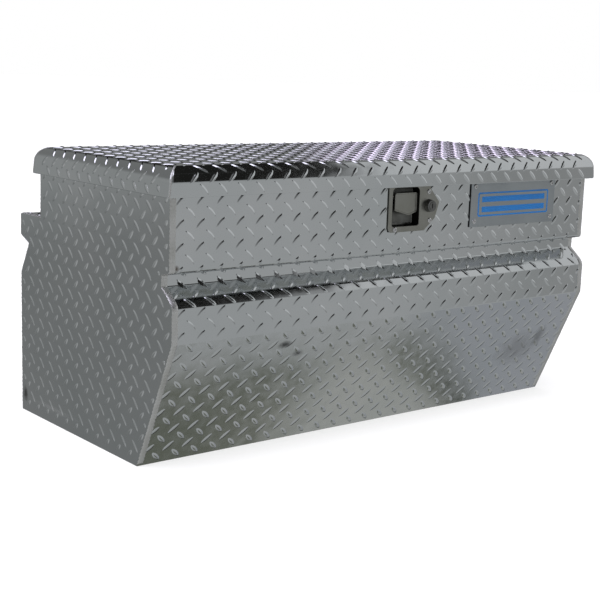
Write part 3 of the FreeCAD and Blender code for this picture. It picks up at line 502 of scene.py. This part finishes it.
outline = end_outline()
margin = end_outline(5.0)
for side, label in ((-1, "left"), (1, "right")):
    parts = Parts()
    n = len(outline)
    outer = np.column_stack([np.full(n, side * BODY_HALF), outline])
    inner = np.column_stack([np.full(n, side * INNER_HALF), outline])
    faces = [list(range(n)), [n + k for k in reversed(range(n))]]
    faces += [[k, (k + 1) % n, n + (k + 1) % n, n + k] for k in range(n)]
    parts.add(np.concatenate([outer, inner]), faces)
    flange = [(x, y, z) for x in (side * INNER_HALF, side * (BODY_HALF - FLANGE))
              for y in (FACE + FLANGE + 0.1, REAR_FACE - FLANGE - 0.1) for z in (RIM - SHEET, RIM)]
    parts.add(flange, [[0, 1, 3, 2], [4, 6, 7, 5], [0, 4, 5, 1], [2, 3, 7, 6], [0, 2, 6, 4], [1, 5, 7, 3]])

    def on_end(s, t):
        return in_polygon(margin, s, t) & (t > EDGE) & (t < RIM - 7)

    # seen from the left end, y grows to the left, so the \ family there rises in (y, z)
    for tilt, shift in ((math.pi / 4, 0.0), (-math.pi / 4, PITCH / 2)):
        centres = [(s, t) for t in lattice(0, RIM, PITCH, 343.0 + shift)
                   for s in lattice(-250, 250, PITCH, 137.2 + shift)]
        parts.add(*lug_shells(centres, tilt,
                              lambda s, t, h: np.stack([side * (BODY_HALF + h), s, t], -1), on_end,
                              width=7.6, height=0.8))
    piece(f"{label}_end_tread", parts, TREAD, [f"{label}_end_panel"])


# ---------------------------------------------------------------- lid

LID_HALF, LID_FRONT, LID_REAR = 478.0, -247.5, 181.0
LID_LOW, LID_TOP, LID_BEND = 430.0, 475.0, 25.0
LID_PITCH = 34.3
LID_LEAN = 0.12
ARC = LID_BEND * math.pi / 2
SKIRT = LID_TOP - LID_BEND - LID_LOW


def flared(points):
    """The lid's ends lean in a little above their lower edge, up to where the bend starts."""
    points = np.array(points, float)
    lean = LID_LEAN * np.clip(points[:, 2] - LID_LOW, 0, SKIRT) / LID_HALF
    points[:, 0] *= 1 - lean
    return points


def lid_side(offset):
    """How far out, how far down and which way a place past the flat top faces."""
    past = np.maximum(offset, 0)
    angle = np.minimum(past / LID_BEND, math.pi / 2)
    straight = np.maximum(past - ARC, 0)
    return LID_BEND * np.sin(angle), LID_BEND * (1 - np.cos(angle)) + straight, np.sin(angle), np.cos(angle)


def on_lid(s, t, h):
    """Points over the lid from unrolled places: x and y on the flat top, running on over the bends."""
    half = LID_HALF - LID_BEND
    low, high = LID_FRONT + LID_BEND, LID_REAR - LID_BEND
    sign_x = np.sign(s)
    out_x, down_x, nx, up_x = lid_side(np.abs(s) - half)
    sign_y = np.where(t > (low + high) / 2, 1.0, -1.0)
    out_y, down_y, ny, up_y = lid_side(np.maximum(low - t, t - high))
    x = np.clip(s, -half, half) + sign_x * (out_x + h * nx)
    y = np.clip(t, low, high) + sign_y * (out_y + h * ny)
    z = LID_TOP - down_x - down_y + h * np.minimum(up_x, up_y)
    return flared(np.stack([x, y, z], -1))


def lid_covers(s, t):
    """Which unrolled places lie on the lid, clear of its lower edge and its welded corners."""
    past_x = np.abs(s) - (LID_HALF - LID_BEND)
    past_y = np.maximum(LID_FRONT + LID_BEND - t, t - (LID_REAR - LID_BEND))
    end = ARC + SKIRT - 1.5
    return (past_x < end) & (past_y < end) & ~((past_x > -2) & (past_y > -2))


def rounded_loop(half_x, low_y, high_y, radius, z, count=6):
    """A rectangle with rounded corners as a ring of points, starting at the front right corner."""
    ring = []
    for sx, sy, start in ((1, -1, -90), (1, 1, 0), (-1, 1, 90), (-1, -1, 180)):
        centre = (sx * (half_x - radius), (high_y - radius) if sy > 0 else (low_y + radius))
        for k in range(count + 1):
            angle = math.radians(start + 90 * k / count)
            ring.append((centre[0] + radius * math.cos(angle), centre[1] + radius * math.sin(angle), z))
    return ring


def lid_loops(gauge):
    """Rings of the lid from its lower edge up over the bend to the flat top, moved in by gauge."""
    levels = [(0.8 - gauge * 0.5, LID_LOW, 0), (0.23 - gauge * 0.14, LID_LOW + 0.23, 0),
              (0.0, LID_LOW + 0.8, 0), (0.0, LID_LOW + 1.2, 0), (0.0, LID_LOW + SKIRT - 0.4, 0)]
    for k in range(19):
        angle = math.radians(90 * k / 18)
        levels.append((LID_BEND * (1 - math.cos(angle)), LID_TOP - LID_BEND * (1 - math.sin(angle)), angle))
    levels.append((LID_BEND + 0.4, LID_TOP, math.pi / 2))
    rings = []
    for inset, z, angle in levels:
        move = gauge * math.cos(angle)
        drop = gauge * math.sin(angle)
        radius = max(5.0 - 2.2 * inset / LID_BEND - gauge, 0.8)
        rings.append(flared(rounded_loop(LID_HALF - inset - move, LID_FRONT + inset + move,
                                         LID_REAR - inset - move, radius, z - drop)))
    return rings


def loft(parts, rings):
    """A closed skin over rings of the same number of points."""
    n = len(rings[0])
    faces = []
    for ring in range(len(rings) - 1):
        a, b = ring * n, (ring + 1) * n
        for k in range(n):
            m = (k + 1) % n
            faces.append([a + k, a + m, b + m, b + k])
    faces.append(list(reversed(range(n))))
    faces.append([(len(rings) - 1) * n + k for k in range(n)])
    parts.add(np.concatenate([np.array(r) for r in rings]), faces)


parts = Parts()
outer, inner = lid_loops(0.0), lid_loops(SHEET)
loft(parts, list(reversed(inner)) + outer)
# lugs near the lower edges of the skirt are flatter than the ones on top
over_end = LID_HALF - LID_BEND + 0.7 * ARC
over_front = LID_FRONT + LID_BEND - 0.7 * ARC
for tilt, shift in ((math.pi / 4, LID_PITCH / 2), (-math.pi / 4, 0.0)):
    centres = [(s, t) for t in lattice(LID_FRONT - 40, LID_REAR + 40, LID_PITCH, -202.5 + shift)
               for s in lattice(-LID_HALF - 40, LID_HALF + 40, LID_PITCH, -7.2 + shift)]
    lugs_on_sides = [(s, t) for s, t in centres if abs(s) > over_end or t < over_front]
    lugs_on_top = [(s, t) for s, t in centres if abs(s) <= over_end and t >= over_front]
    parts.add(*lug_shells(lugs_on_sides, tilt, on_lid, lid_covers, width=7.4, height=0.8, least=12.0))
    parts.add(*lug_shells(lugs_on_top, tilt, on_lid, lid_covers, height=1.3, least=12.0))
piece("lid_tread", parts, TREAD, ["lid_skin"])


def seam(parts, line, out, thick=1.3):
    """A thin rippled tube half sunk along a line of points, out being the corner's way in plan."""
    line = np.array(line)
    way = np.gradient(line, axis=0)
    way /= np.linalg.norm(way, axis=1)[:, None]
    side = np.cross(way, [out[0], out[1], 0.35])
    side /= np.linalg.norm(side, axis=1)[:, None]
    over = np.cross(side, way)
    along = np.concatenate([[0], np.cumsum(np.linalg.norm(np.diff(line, axis=0), axis=1))])
    rings = []
    for index, middle in enumerate(line):
        size = thick * (1 + 0.12 * math.sin(2 * math.pi * along[index] / 4.2))
        size *= min(1.0, 0.4 + index * 0.3, 0.4 + (len(line) - 1 - index) * 0.3)
        turns = np.arange(10)[:, None] * 2 * math.pi / 10
        rings.append(middle + size * (np.cos(turns) * side[index] + 0.7 * np.sin(turns) * over[index]))
    loft(parts, rings)


parts = Parts()
# the middle point of each of the lid's rounded corners, and the corner's way in plan
for corner, way in ((3, (1, -1)), (10, (1, 1)), (17, (-1, 1)), (24, (-1, -1))):
    raw = np.array([ring[corner] for ring in outer[3:]])
    span = np.concatenate([[0], np.cumsum(np.linalg.norm(np.diff(raw, axis=0), axis=1))])
    even = np.arange(0, span[-1] - 6, 0.8)
    seam(parts, np.column_stack([np.interp(even, span, raw[:, column]) for column in range(3)]), way)
piece("lid_corner_seams", parts, WELD, ["lid_skin"], smooth=60)


# ---------------------------------------------------------------- weld beads

def bead(parts, fold, low, high, x_low, x_high, rise=0.9, period=5.2):
    """A rippled bead along a folded line, with curved ripples like a stack of coins."""
    across = 8
    t = np.arange(low, high, 0.85)
    u = np.linspace(-1, 1, across + 1)
    rings = []
    for here in t:
        taper = min(1.0, (here - low + 0.6) / 3, (high - here + 0.6) / 3)
        ripple = np.sin(2 * math.pi * (here - 1.3 * u * u) / period + 0.6 * math.sin(here * 0.37))
        height = (rise * np.sqrt(np.maximum(0, 1 - u * u)) * (1 + 0.06 * ripple) * taper) - 0.05
        wobble = 0.35 * math.sin(here * 0.21) + 0.2 * math.sin(here * 0.83)
        x = (x_low + x_high) / 2 + u * ((x_high - x_low) / 2 + 0.25 * math.sin(here * 0.9)) + wobble * 0.5
        top = fold.place(np.full(across + 1, here), x, height)
        base = fold.place(np.full(across + 1, here), x, np.full(across + 1, -0.5))
        rings.append(np.concatenate([top, base[::-1]]))
    loft(parts, rings)


for side, label in ((-1, "left"), (1, "right")):
    low, high = sorted((side * 467.3, side * 456.5))
    parts = Parts()
    bead(parts, front_fold, front_along(440), front_fold.length - 3.5, low, high)
    piece(f"{label}_front_bead", parts, WELD, [f"{label}_front_weld"], smooth=60)
    parts = Parts()
    bead(parts, rear_fold, 3.5, rear_fold.starts[6] - 66, low, high)
    piece(f"{label}_rear_bead", parts, WELD, [f"{label}_rear_weld"], smooth=60)


# ---------------------------------------------------------------- latch and name plate

def rounded(corners, step=15):
    """A closed outline from (x, z, radius) corners, anticlockwise seen from the front."""
    ring = []
    for index, (x, z, radius) in enumerate(corners):
        here = np.array([x, z], float)
        ahead = np.array(corners[(index + 1) % len(corners)][:2]) - here
        behind = here - np.array(corners[index - 1][:2])
        before, after = behind / np.linalg.norm(behind), ahead / np.linalg.norm(ahead)
        turn = math.atan2(before[0] * after[1] - before[1] * after[0], before @ after)
        if not radius:
            ring.append(here)
            continue
        start = here - before * radius * math.tan(abs(turn) / 2)
        side = 1 if turn > 0 else -1
        out = side * np.array([before[1], -before[0]])
        centre = start - radius * out
        steps = max(2, math.ceil(math.degrees(abs(turn)) / step))
        for k in range(steps + 1):
            c, s = math.cos(turn * k / steps), math.sin(turn * k / steps)
            ring.append(centre + radius * np.array([out[0] * c - out[1] * s, out[0] * s + out[1] * c]))
    return np.array(ring)


def round_hole(x, z, radius, count=28):
    """A circle as a ring of (x, z) points."""
    turn = np.arange(count) * 2 * math.pi / count
    return np.column_stack([x + radius * np.cos(turn), z + radius * np.sin(turn)])


def shifted(ring, distance):
    """The outline moved to its left by a distance: in for an anticlockwise one."""
    ahead = np.roll(ring, -1, 0) - ring
    ahead /= np.linalg.norm(ahead, axis=1)[:, None]
    behind = np.roll(ahead, 1, 0)
    left_a = np.column_stack([-ahead[:, 1], ahead[:, 0]])
    left_b = np.column_stack([-behind[:, 1], behind[:, 0]])
    way = left_a + left_b
    return ring + distance * way / np.maximum(0.3, (1 + (left_a * left_b).sum(1)))[:, None]


def at_depth(ring, y):
    """The outline's (x, z) points at a depth y."""
    return np.column_stack([ring[:, 0], np.full(len(ring), y), ring[:, 1]])


def flat_faces(points, starts, sizes):
    """Triangles over a flat outline with holes, each given by its first point and its number of points."""
    rings = [[Vector((points[start + k][0], points[start + k][2], 0)) for k in range(size)]
             for start, size in zip(starts, sizes)]
    index = [start + k for start, size in zip(starts, sizes) for k in range(size)]
    return [[index[k] for k in face] for face in tessellate_polygon(rings)]


def bands(parts, ring, levels, holes):
    """A plate with holes: levels are (distance in, y) from its back face to its front one."""
    loops = [ring] + [hole[::-1] for hole in holes]
    points, faces, firsts, lasts = [], [], [], []
    count = 0
    for ring in loops:
        firsts.append(count)
        for inset, y in levels:
            points.append(at_depth(shifted(ring, inset), y))
        n = len(ring)
        for level in range(len(levels) - 1):
            a = count + level * n
            faces += [[a + k, a + (k + 1) % n, a + n + (k + 1) % n, a + n + k] for k in range(n)]
        lasts.append(count + (len(levels) - 1) * n)
        count += len(levels) * n
    points = np.concatenate(points)
    for starts in (firsts, lasts):
        faces += flat_faces(points, starts, [len(ring) for ring in loops])
    parts.add(points, faces)


def plate(parts, ring, back, front, bevel=0.35, holes=(), border=None):
    """A flat plate from back to front with a small bevel, and with its middle set back inside a border."""
    levels = [(0.0, back), (0.0, front + bevel), (bevel, front)]
    if border:
        levels += [(border, front), (border + 0.5, front + 0.5)]
    bands(parts, ring, levels, holes)


def turned(parts, x, z, profile, count=28):
    """A round part about an axis along y, from (radius, y) pairs."""
    rings = [at_depth(round_hole(x, z, max(radius, 0.05), count), y) for radius, y in profile]
    loft(parts, rings)


PLATE_BACK, PLATE_FACE = -234.7, -236.3
PAN_BACK, PAN_FLOOR_Y = -217.3, -218.5
LOCK_AT = (53, 395.5)
edge_ring = rounded([(-39, 353.5, 8), (44.5, 353.5, 2), (69, 374, 1.5), (78, 401, 1.5), (56, 425, 2),
                     (56, 446.5, 1.5), (-39, 446.5, 8)])
opening = rounded([(-31, 363, 4), (31, 363, 4), (31, 428, 8), (-31, 428, 8)])
parts = Parts()
plate(parts, edge_ring, PLATE_BACK, PLATE_FACE, 0.5, [opening, round_hole(*LOCK_AT, 9.6)])
piece("latch_plate", parts, LATCH, ["latch_dish"])

# the pan: its inside from the lip to the floor, then its outside from the back to the lip
# and a slit for the paddle's tail
slit = rounded([(-5, 401, 0.8), (5, 401, 0.8), (5, 417, 0.8), (-5, 417, 0.8)])
levels = [(0.1, -236.0), (0.2, -235.6), (0.25, -224), (0.9, -219.6), (3.0, PAN_FLOOR_Y),
          (2.4, PAN_BACK), (0.0, -219.0), (-0.5, -223), (-0.7, -234.9)]
FLOOR_LEVEL, LIP_LEVEL = 4, 8
n, m = len(opening), len(slit)
slit_start = n * len(levels)
points = np.concatenate([at_depth(shifted(opening, inset), y) for inset, y in levels]
                        + [at_depth(slit, PAN_FLOOR_Y), at_depth(slit, PAN_BACK)])
faces = []
for level in range(LIP_LEVEL):
    if level != FLOOR_LEVEL:
        a, b = level * n, (level + 1) * n
        faces += [[a + k, a + (k + 1) % n, b + (k + 1) % n, b + k] for k in range(n)]
faces += [[k, (k + 1) % n, LIP_LEVEL * n + (k + 1) % n, LIP_LEVEL * n + k] for k in range(n)]
faces += flat_faces(points, [FLOOR_LEVEL * n, slit_start], [n, m])
faces += flat_faces(points, [(FLOOR_LEVEL + 1) * n, slit_start + m], [n, m])
faces += [[slit_start + k, slit_start + (k + 1) % m, slit_start + m + (k + 1) % m, slit_start + m + k]
          for k in range(m)]
parts = Parts()
parts.add(points, faces)
pan = piece("latch_pan", parts, PAN_FLOOR, ["latch_dish"])
# the pan's walls, the faces that don't face forward, take the near-black material: painted shade in the recess
pan.data.materials.append(PAN_WALL_PAINTED_SHADE)
for face in pan.data.polygons:
    if abs(face.normal.y) < 0.7:
        face.material_index = 1

# the paddle's plate, then its ears, boss and tail: (y, z) outlines between two places along x
parts = Parts()
handle = rounded([(-21, 389, 1.5), (11, 380, 4), (30.5, 386, 1.5), (30.5, 419, 4), (-21, 419, 4)])
plate(parts, handle, -229.5, -231.5, 0.5, border=2.2)
ear = rounded([(-230.5, 408, 0), (-223.5, 408, 3), (-220.5, 413, 2), (-223.5, 418, 3), (-230.5, 418, 0)])
boss = rounded([(-230, 408, 0), (-222.5, 408, 4), (-220.5, 413, 2), (-222.5, 418, 4), (-230, 418, 0)])
tail = rounded([(-223, 411, 0), (-200.5, 411, 1), (-200.5, 415, 1), (-223, 415, 0)])
for ring, low, high in ((ear, -19, -16), (ear, 25.5, 28.5), (boss, -4, 4), (tail, -4, 4)):
    loft(parts, [np.column_stack([np.full(len(ring), x), ring]) for x in (low, high)])
piece("paddle_plate", parts, LATCH, ["paddle"])

# a screw or rivet with a hollow in its head, as (radius, y)
RING = [(2.0, -226.5), (2.0, -236.2), (4.4, -236.2), (4.4, -236.7), (4.0, -237.4), (3.0, -237.8), (2.2, -237.8),
        (1.9, -237.4), (1.8, -236.6)]
parts = Parts()
for x, z in ((-24, 358.2), (52, 419.5), (56, 370), (-24, 441.5)):
    turned(parts, x, z, RING)
piece("latch_screw_rings", parts, RIVET, ["latch_screws"])

SIGN_LEFT, SIGN_RIGHT, SIGN_LOW, SIGN_HIGH = 156, 378, 352, 434
SIGN_RIVET = 10
SIGN_BACK = -235.4
sign = rounded([(SIGN_LEFT, SIGN_LOW, 1.5), (SIGN_RIGHT, SIGN_LOW, 1.5), (SIGN_RIGHT, SIGN_HIGH, 1.5),
                (SIGN_LEFT, SIGN_HIGH, 1.5)])
parts = Parts()
plate(parts, sign, SIGN_BACK, PLATE_FACE, 0.3)
piece("name_plate_face", parts, BADGE, ["name_plate"])
# a black backing fills the gap behind the name plate: it stands for the spacers, and its black is painted shade
# of that gap
parts = Parts()
plate(parts, shifted(sign, 0.4), FACE - 0.1, SIGN_BACK, 0.1)
piece("name_plate_shade_backing", parts, RUBBER, ["name_plate_spacers"])
parts = Parts()
for x in (SIGN_LEFT + SIGN_RIVET, SIGN_RIGHT - SIGN_RIVET):
    for z in (SIGN_LOW + SIGN_RIVET, SIGN_HIGH - SIGN_RIVET):
        turned(parts, x, z, RING)
piece("name_plate_rings", parts, RIVET, ["name_plate_rivets"])

# generic print: a plain border and two plain bars
PRINT_BACK, PRINT_FACE = -236.2, -236.42
parts = Parts()
border = rounded([(174, 370, 4), (360, 370, 4), (360, 413, 4), (174, 413, 4)])
plate(parts, border, PRINT_BACK, PRINT_FACE, 0.05, [shifted(border, 2.9)])
for low, high in ((395.5, 405.5), (377.5, 387.5)):
    bar = rounded([(184, low, 1), (350, low, 1), (350, high, 1), (184, high, 1)])
    plate(parts, bar, PRINT_BACK, PRINT_FACE, 0.05)
piece("name_plate_print", parts, BLUE, ["name_plate"])


# ---------------------------------------------------------------- studio

def camera():
    """The camera, three-quarters from the left and a little above."""
    yaw, pitch, roll = math.radians(38.84), math.radians(10.66), math.radians(1.86)
    ahead = Vector((math.sin(yaw) * math.cos(pitch), math.cos(yaw) * math.cos(pitch), -math.sin(pitch)))
    right = Vector((math.cos(yaw), -math.sin(yaw), 0))
    up = right.cross(ahead)
    across = math.cos(roll) * right + math.sin(roll) * up
    over = -math.sin(roll) * right + math.cos(roll) * up
    made = bpy.data.objects.new("camera", bpy.data.cameras.new("camera"))
    made.data.sensor_width = 36.0
    made.data.lens = 75.06
    made.data.clip_end = 200.0
    turn = Matrix((across, over, -ahead)).transposed().to_4x4()
    made.matrix_world = Matrix.Translation(Vector((-1.4487, -1.7594, 0.625))) @ turn
    scene.collection.objects.link(made)
    scene.camera = made


def world():
    """What the metal reflects, by direction.

    Swing is the angle towards +X, and roll the angle about X, from the front horizon upwards.
    """
    made = bpy.data.worlds.new("studio")
    scene.world = made
    made.use_nodes = True
    tree = made.node_tree
    back = tree.nodes["Background"]
    place = node_of(tree, "ShaderNodeTexCoord")
    axes = node_of(tree, "ShaderNodeSeparateXYZ")
    join(tree, place.outputs["Generated"], axes.inputs["Vector"])

    def calc(kind, a, b=None):
        node = node_of(tree, "ShaderNodeMath", operation=kind)
        for slot, item in enumerate([a, b][:1 if b is None else 2]):
            if isinstance(item, (int, float)):
                node.inputs[slot].default_value = item
            else:
                join(tree, item, node.inputs[slot])
        return node.outputs[0]

    x, y, z = axes.outputs
    swing = calc("MULTIPLY", calc("ARCSINE", x), 180 / math.pi)
    roll = calc("MULTIPLY", calc("ARCTAN2", z, calc("MULTIPLY", y, -1.0)), 180 / math.pi)

    def edge(item, middle, soft):
        node = node_of(tree, "ShaderNodeMapRange", interpolation_type="SMOOTHSTEP")
        join(tree, item, node.inputs["Value"])
        node.inputs["From Min"].default_value = middle - soft
        node.inputs["From Max"].default_value = middle + soft
        return node.outputs["Result"]

    def window(item, low, high, soft_low, soft_high):
        return calc("MULTIPLY", edge(item, low, soft_low), calc("SUBTRACT", 1.0, edge(item, high, soft_high)))

    def mix(base, colour, factor):
        node = node_of(tree, "ShaderNodeMix", data_type="RGBA")
        join(tree, factor, node.inputs["Factor"])
        for name, item in (("A", base), ("B", colour)):
            if isinstance(item, tuple):
                node.inputs[name].default_value = (*item, 1)
            else:
                join(tree, item, node.inputs[name])
        return node.outputs["Result"]

    def side_edge(place_at, lean, start, soft):
        """A side of a patch that leans with the roll, from its place where the patch starts."""
        leaning = calc("SUBTRACT", swing, calc("MULTIPLY", calc("SUBTRACT", roll, float(start)), lean))
        return edge(leaning, place_at, soft)

    shade = FLOOR_TONE
    for colour, (left, left_lean), (right, right_lean), (low, high), softness in PATCHES:
        soft_left, soft_right, soft_low, soft_high = softness
        across = calc("MULTIPLY", side_edge(left, left_lean, low, soft_left),
                      calc("SUBTRACT", 1.0, side_edge(right, right_lean, low, soft_right)))
        shade = mix(shade, colour, calc("MULTIPLY", across, window(roll, low, high, soft_low, soft_high)))
    join(tree, shade, back.inputs["Color"])
    back.inputs["Strength"].default_value = 1.0


FLOOR_TONE = (0.42, 0.43, 0.435)
# colour, left side and its lean, right side and its lean, rolls, and how soft the left, right, lower and upper
# edges are: all in degrees
PATCHES = [
    ((0.30, 0.305, 0.305), (47, 0), (95, 0), (-25, 3), (6, 5, 8, 3)),           # floor far to the right
    ((0.215, 0.222, 0.222), (-95, 0), (95, 0), (-190, -95), (5, 5, 4, 15)),      # floor behind
    ((0.03, 0.03, 0.03), (10, 0), (95, 0), (-132, -90), (14, 5, 10, 12)),        # under the box
    ((0.20, 0.205, 0.205), (-95, 0), (95, 0), (100, 190), (5, 5, 20, 4)),         # rear wall
    ((0.32, 0.33, 0.33), (-95, 0), (-10, 0), (-190, -172.5), (5, 8, 2, 2.5)),    # low wall behind, to the left
    ((0.32, 0.33, 0.33), (-95, 0), (-10, 0), (160, 190), (5, 8, 6, 2)),          # the same, above the horizon
    ((0.17, 0.172, 0.175), (-95, 0), (40, 0), (6, 110), (5, 5, 6, 20)),          # front wall
    ((0.43, 0.435, 0.44), (-95, 0), (-41, 0), (-172, 172), (5, 3, 6, 6)),        # left wall
    ((0.14, 0.145, 0.15), (-95, 0), (-50, 0), (-14, 70), (5, 4, 6, 10)),         # shelves far to the left
    ((0.60, 0.61, 0.62), (39.5, 0), (95, 0), (3, 128), (0.7, 5, 3, 8)),          # light wall at the right
    ((0.014, 0.014, 0.013), (17, 0), (36.3, 0.053), (7, 66), (5, 0.7, 1.5, 1.5)),
    ((0.014, 0.014, 0.013), (17, 0), (39.5, 0), (66, 163), (5, 0.7, 1.5, 5)),    # dark ceiling
    ((0.20, 0.20, 0.205), (41, 0), (95, 0), (134, 170), (1.5, 5, 8, 3)),         # grey ceiling at the right
    ((1.45, 1.3, 1.7), (40, 0), (95, 0), (172, 186), (2, 5, 2, 3)),              # bright strip low behind
    ((2.0, 1.93, 2.3), (-55, 0), (13, 0), (68, 122), (8, 4, 4, 5)),               # light panel overhead
    ((0.14, 0.148, 0.12), (20, 0), (36, 0.917), (-80, -65.3), (5, 0.8, 4, 0.8)),
    ((0.035, 0.04, 0.033), (44, 0), (47.2, -0.244), (-80, -65.0), (0.8, 0.5, 4, 0.8)),
    ((0.42, 0.425, 0.405), (26, 0.917), (49.3, -0.558), (-80, -65.8), (0.6, 0.35, 4, 0.8)),
    ((0.35, 0.362, 0.388), (47.6, -0.244), (60, 0), (-80, -60), (0.7, 5, 4, 2)),
]


def studio():
    """Pale floor and backdrop, which don't show in the metal, and soft light from above."""
    bpy.ops.mesh.primitive_circle_add(vertices=96, radius=40, fill_type="NGON", location=(0, 0, -0.0006))
    floor = bpy.context.object
    floor.name = "floor"
    pale = bpy.data.materials.new("pale_floor")
    pale.use_nodes = True
    shader = pale.node_tree.nodes["Principled BSDF"]
    shader.inputs["Base Color"].default_value = (0.34, 0.34, 0.34, 1)
    shader.inputs["Roughness"].default_value = 0.9
    shader.inputs["Emission Color"].default_value = (1, 1, 1, 1)
    shader.inputs["Emission Strength"].default_value = 0.66
    shader.inputs["Specular IOR Level"].default_value = 0.0
    floor.data.materials.append(pale)
    bpy.ops.mesh.primitive_uv_sphere_add(segments=64, ring_count=32, radius=39, location=(0, 0, 0))
    dome = bpy.context.object
    dome.name = "backdrop"
    bright = bpy.data.materials.new("pale_backdrop")
    bright.use_nodes = True
    bright.node_tree.nodes.remove(bright.node_tree.nodes["Principled BSDF"])
    glow = node_of(bright.node_tree, "ShaderNodeEmission", Color=(1, 1, 1, 1), Strength=1.0)
    join(bright.node_tree, glow.outputs[0], bright.node_tree.nodes["Material Output"].inputs["Surface"])
    dome.data.materials.append(bright)
    for item in (floor, dome):
        item.visible_glossy = False
    dome.visible_diffuse = dome.visible_shadow = dome.visible_transmission = False
    sun = bpy.data.objects.new("soft_light", bpy.data.lights.new("soft_light", "SUN"))
    sun.data.energy = 3.2
    sun.data.angle = math.radians(60)
    sun.rotation_euler = (math.radians(20), math.radians(-12), 0)
    sun.visible_glossy = False
    scene.collection.objects.link(sun)
    scene.view_settings.view_transform = "Standard"
    scene.view_settings.look = "None"


camera()
world()
studio()
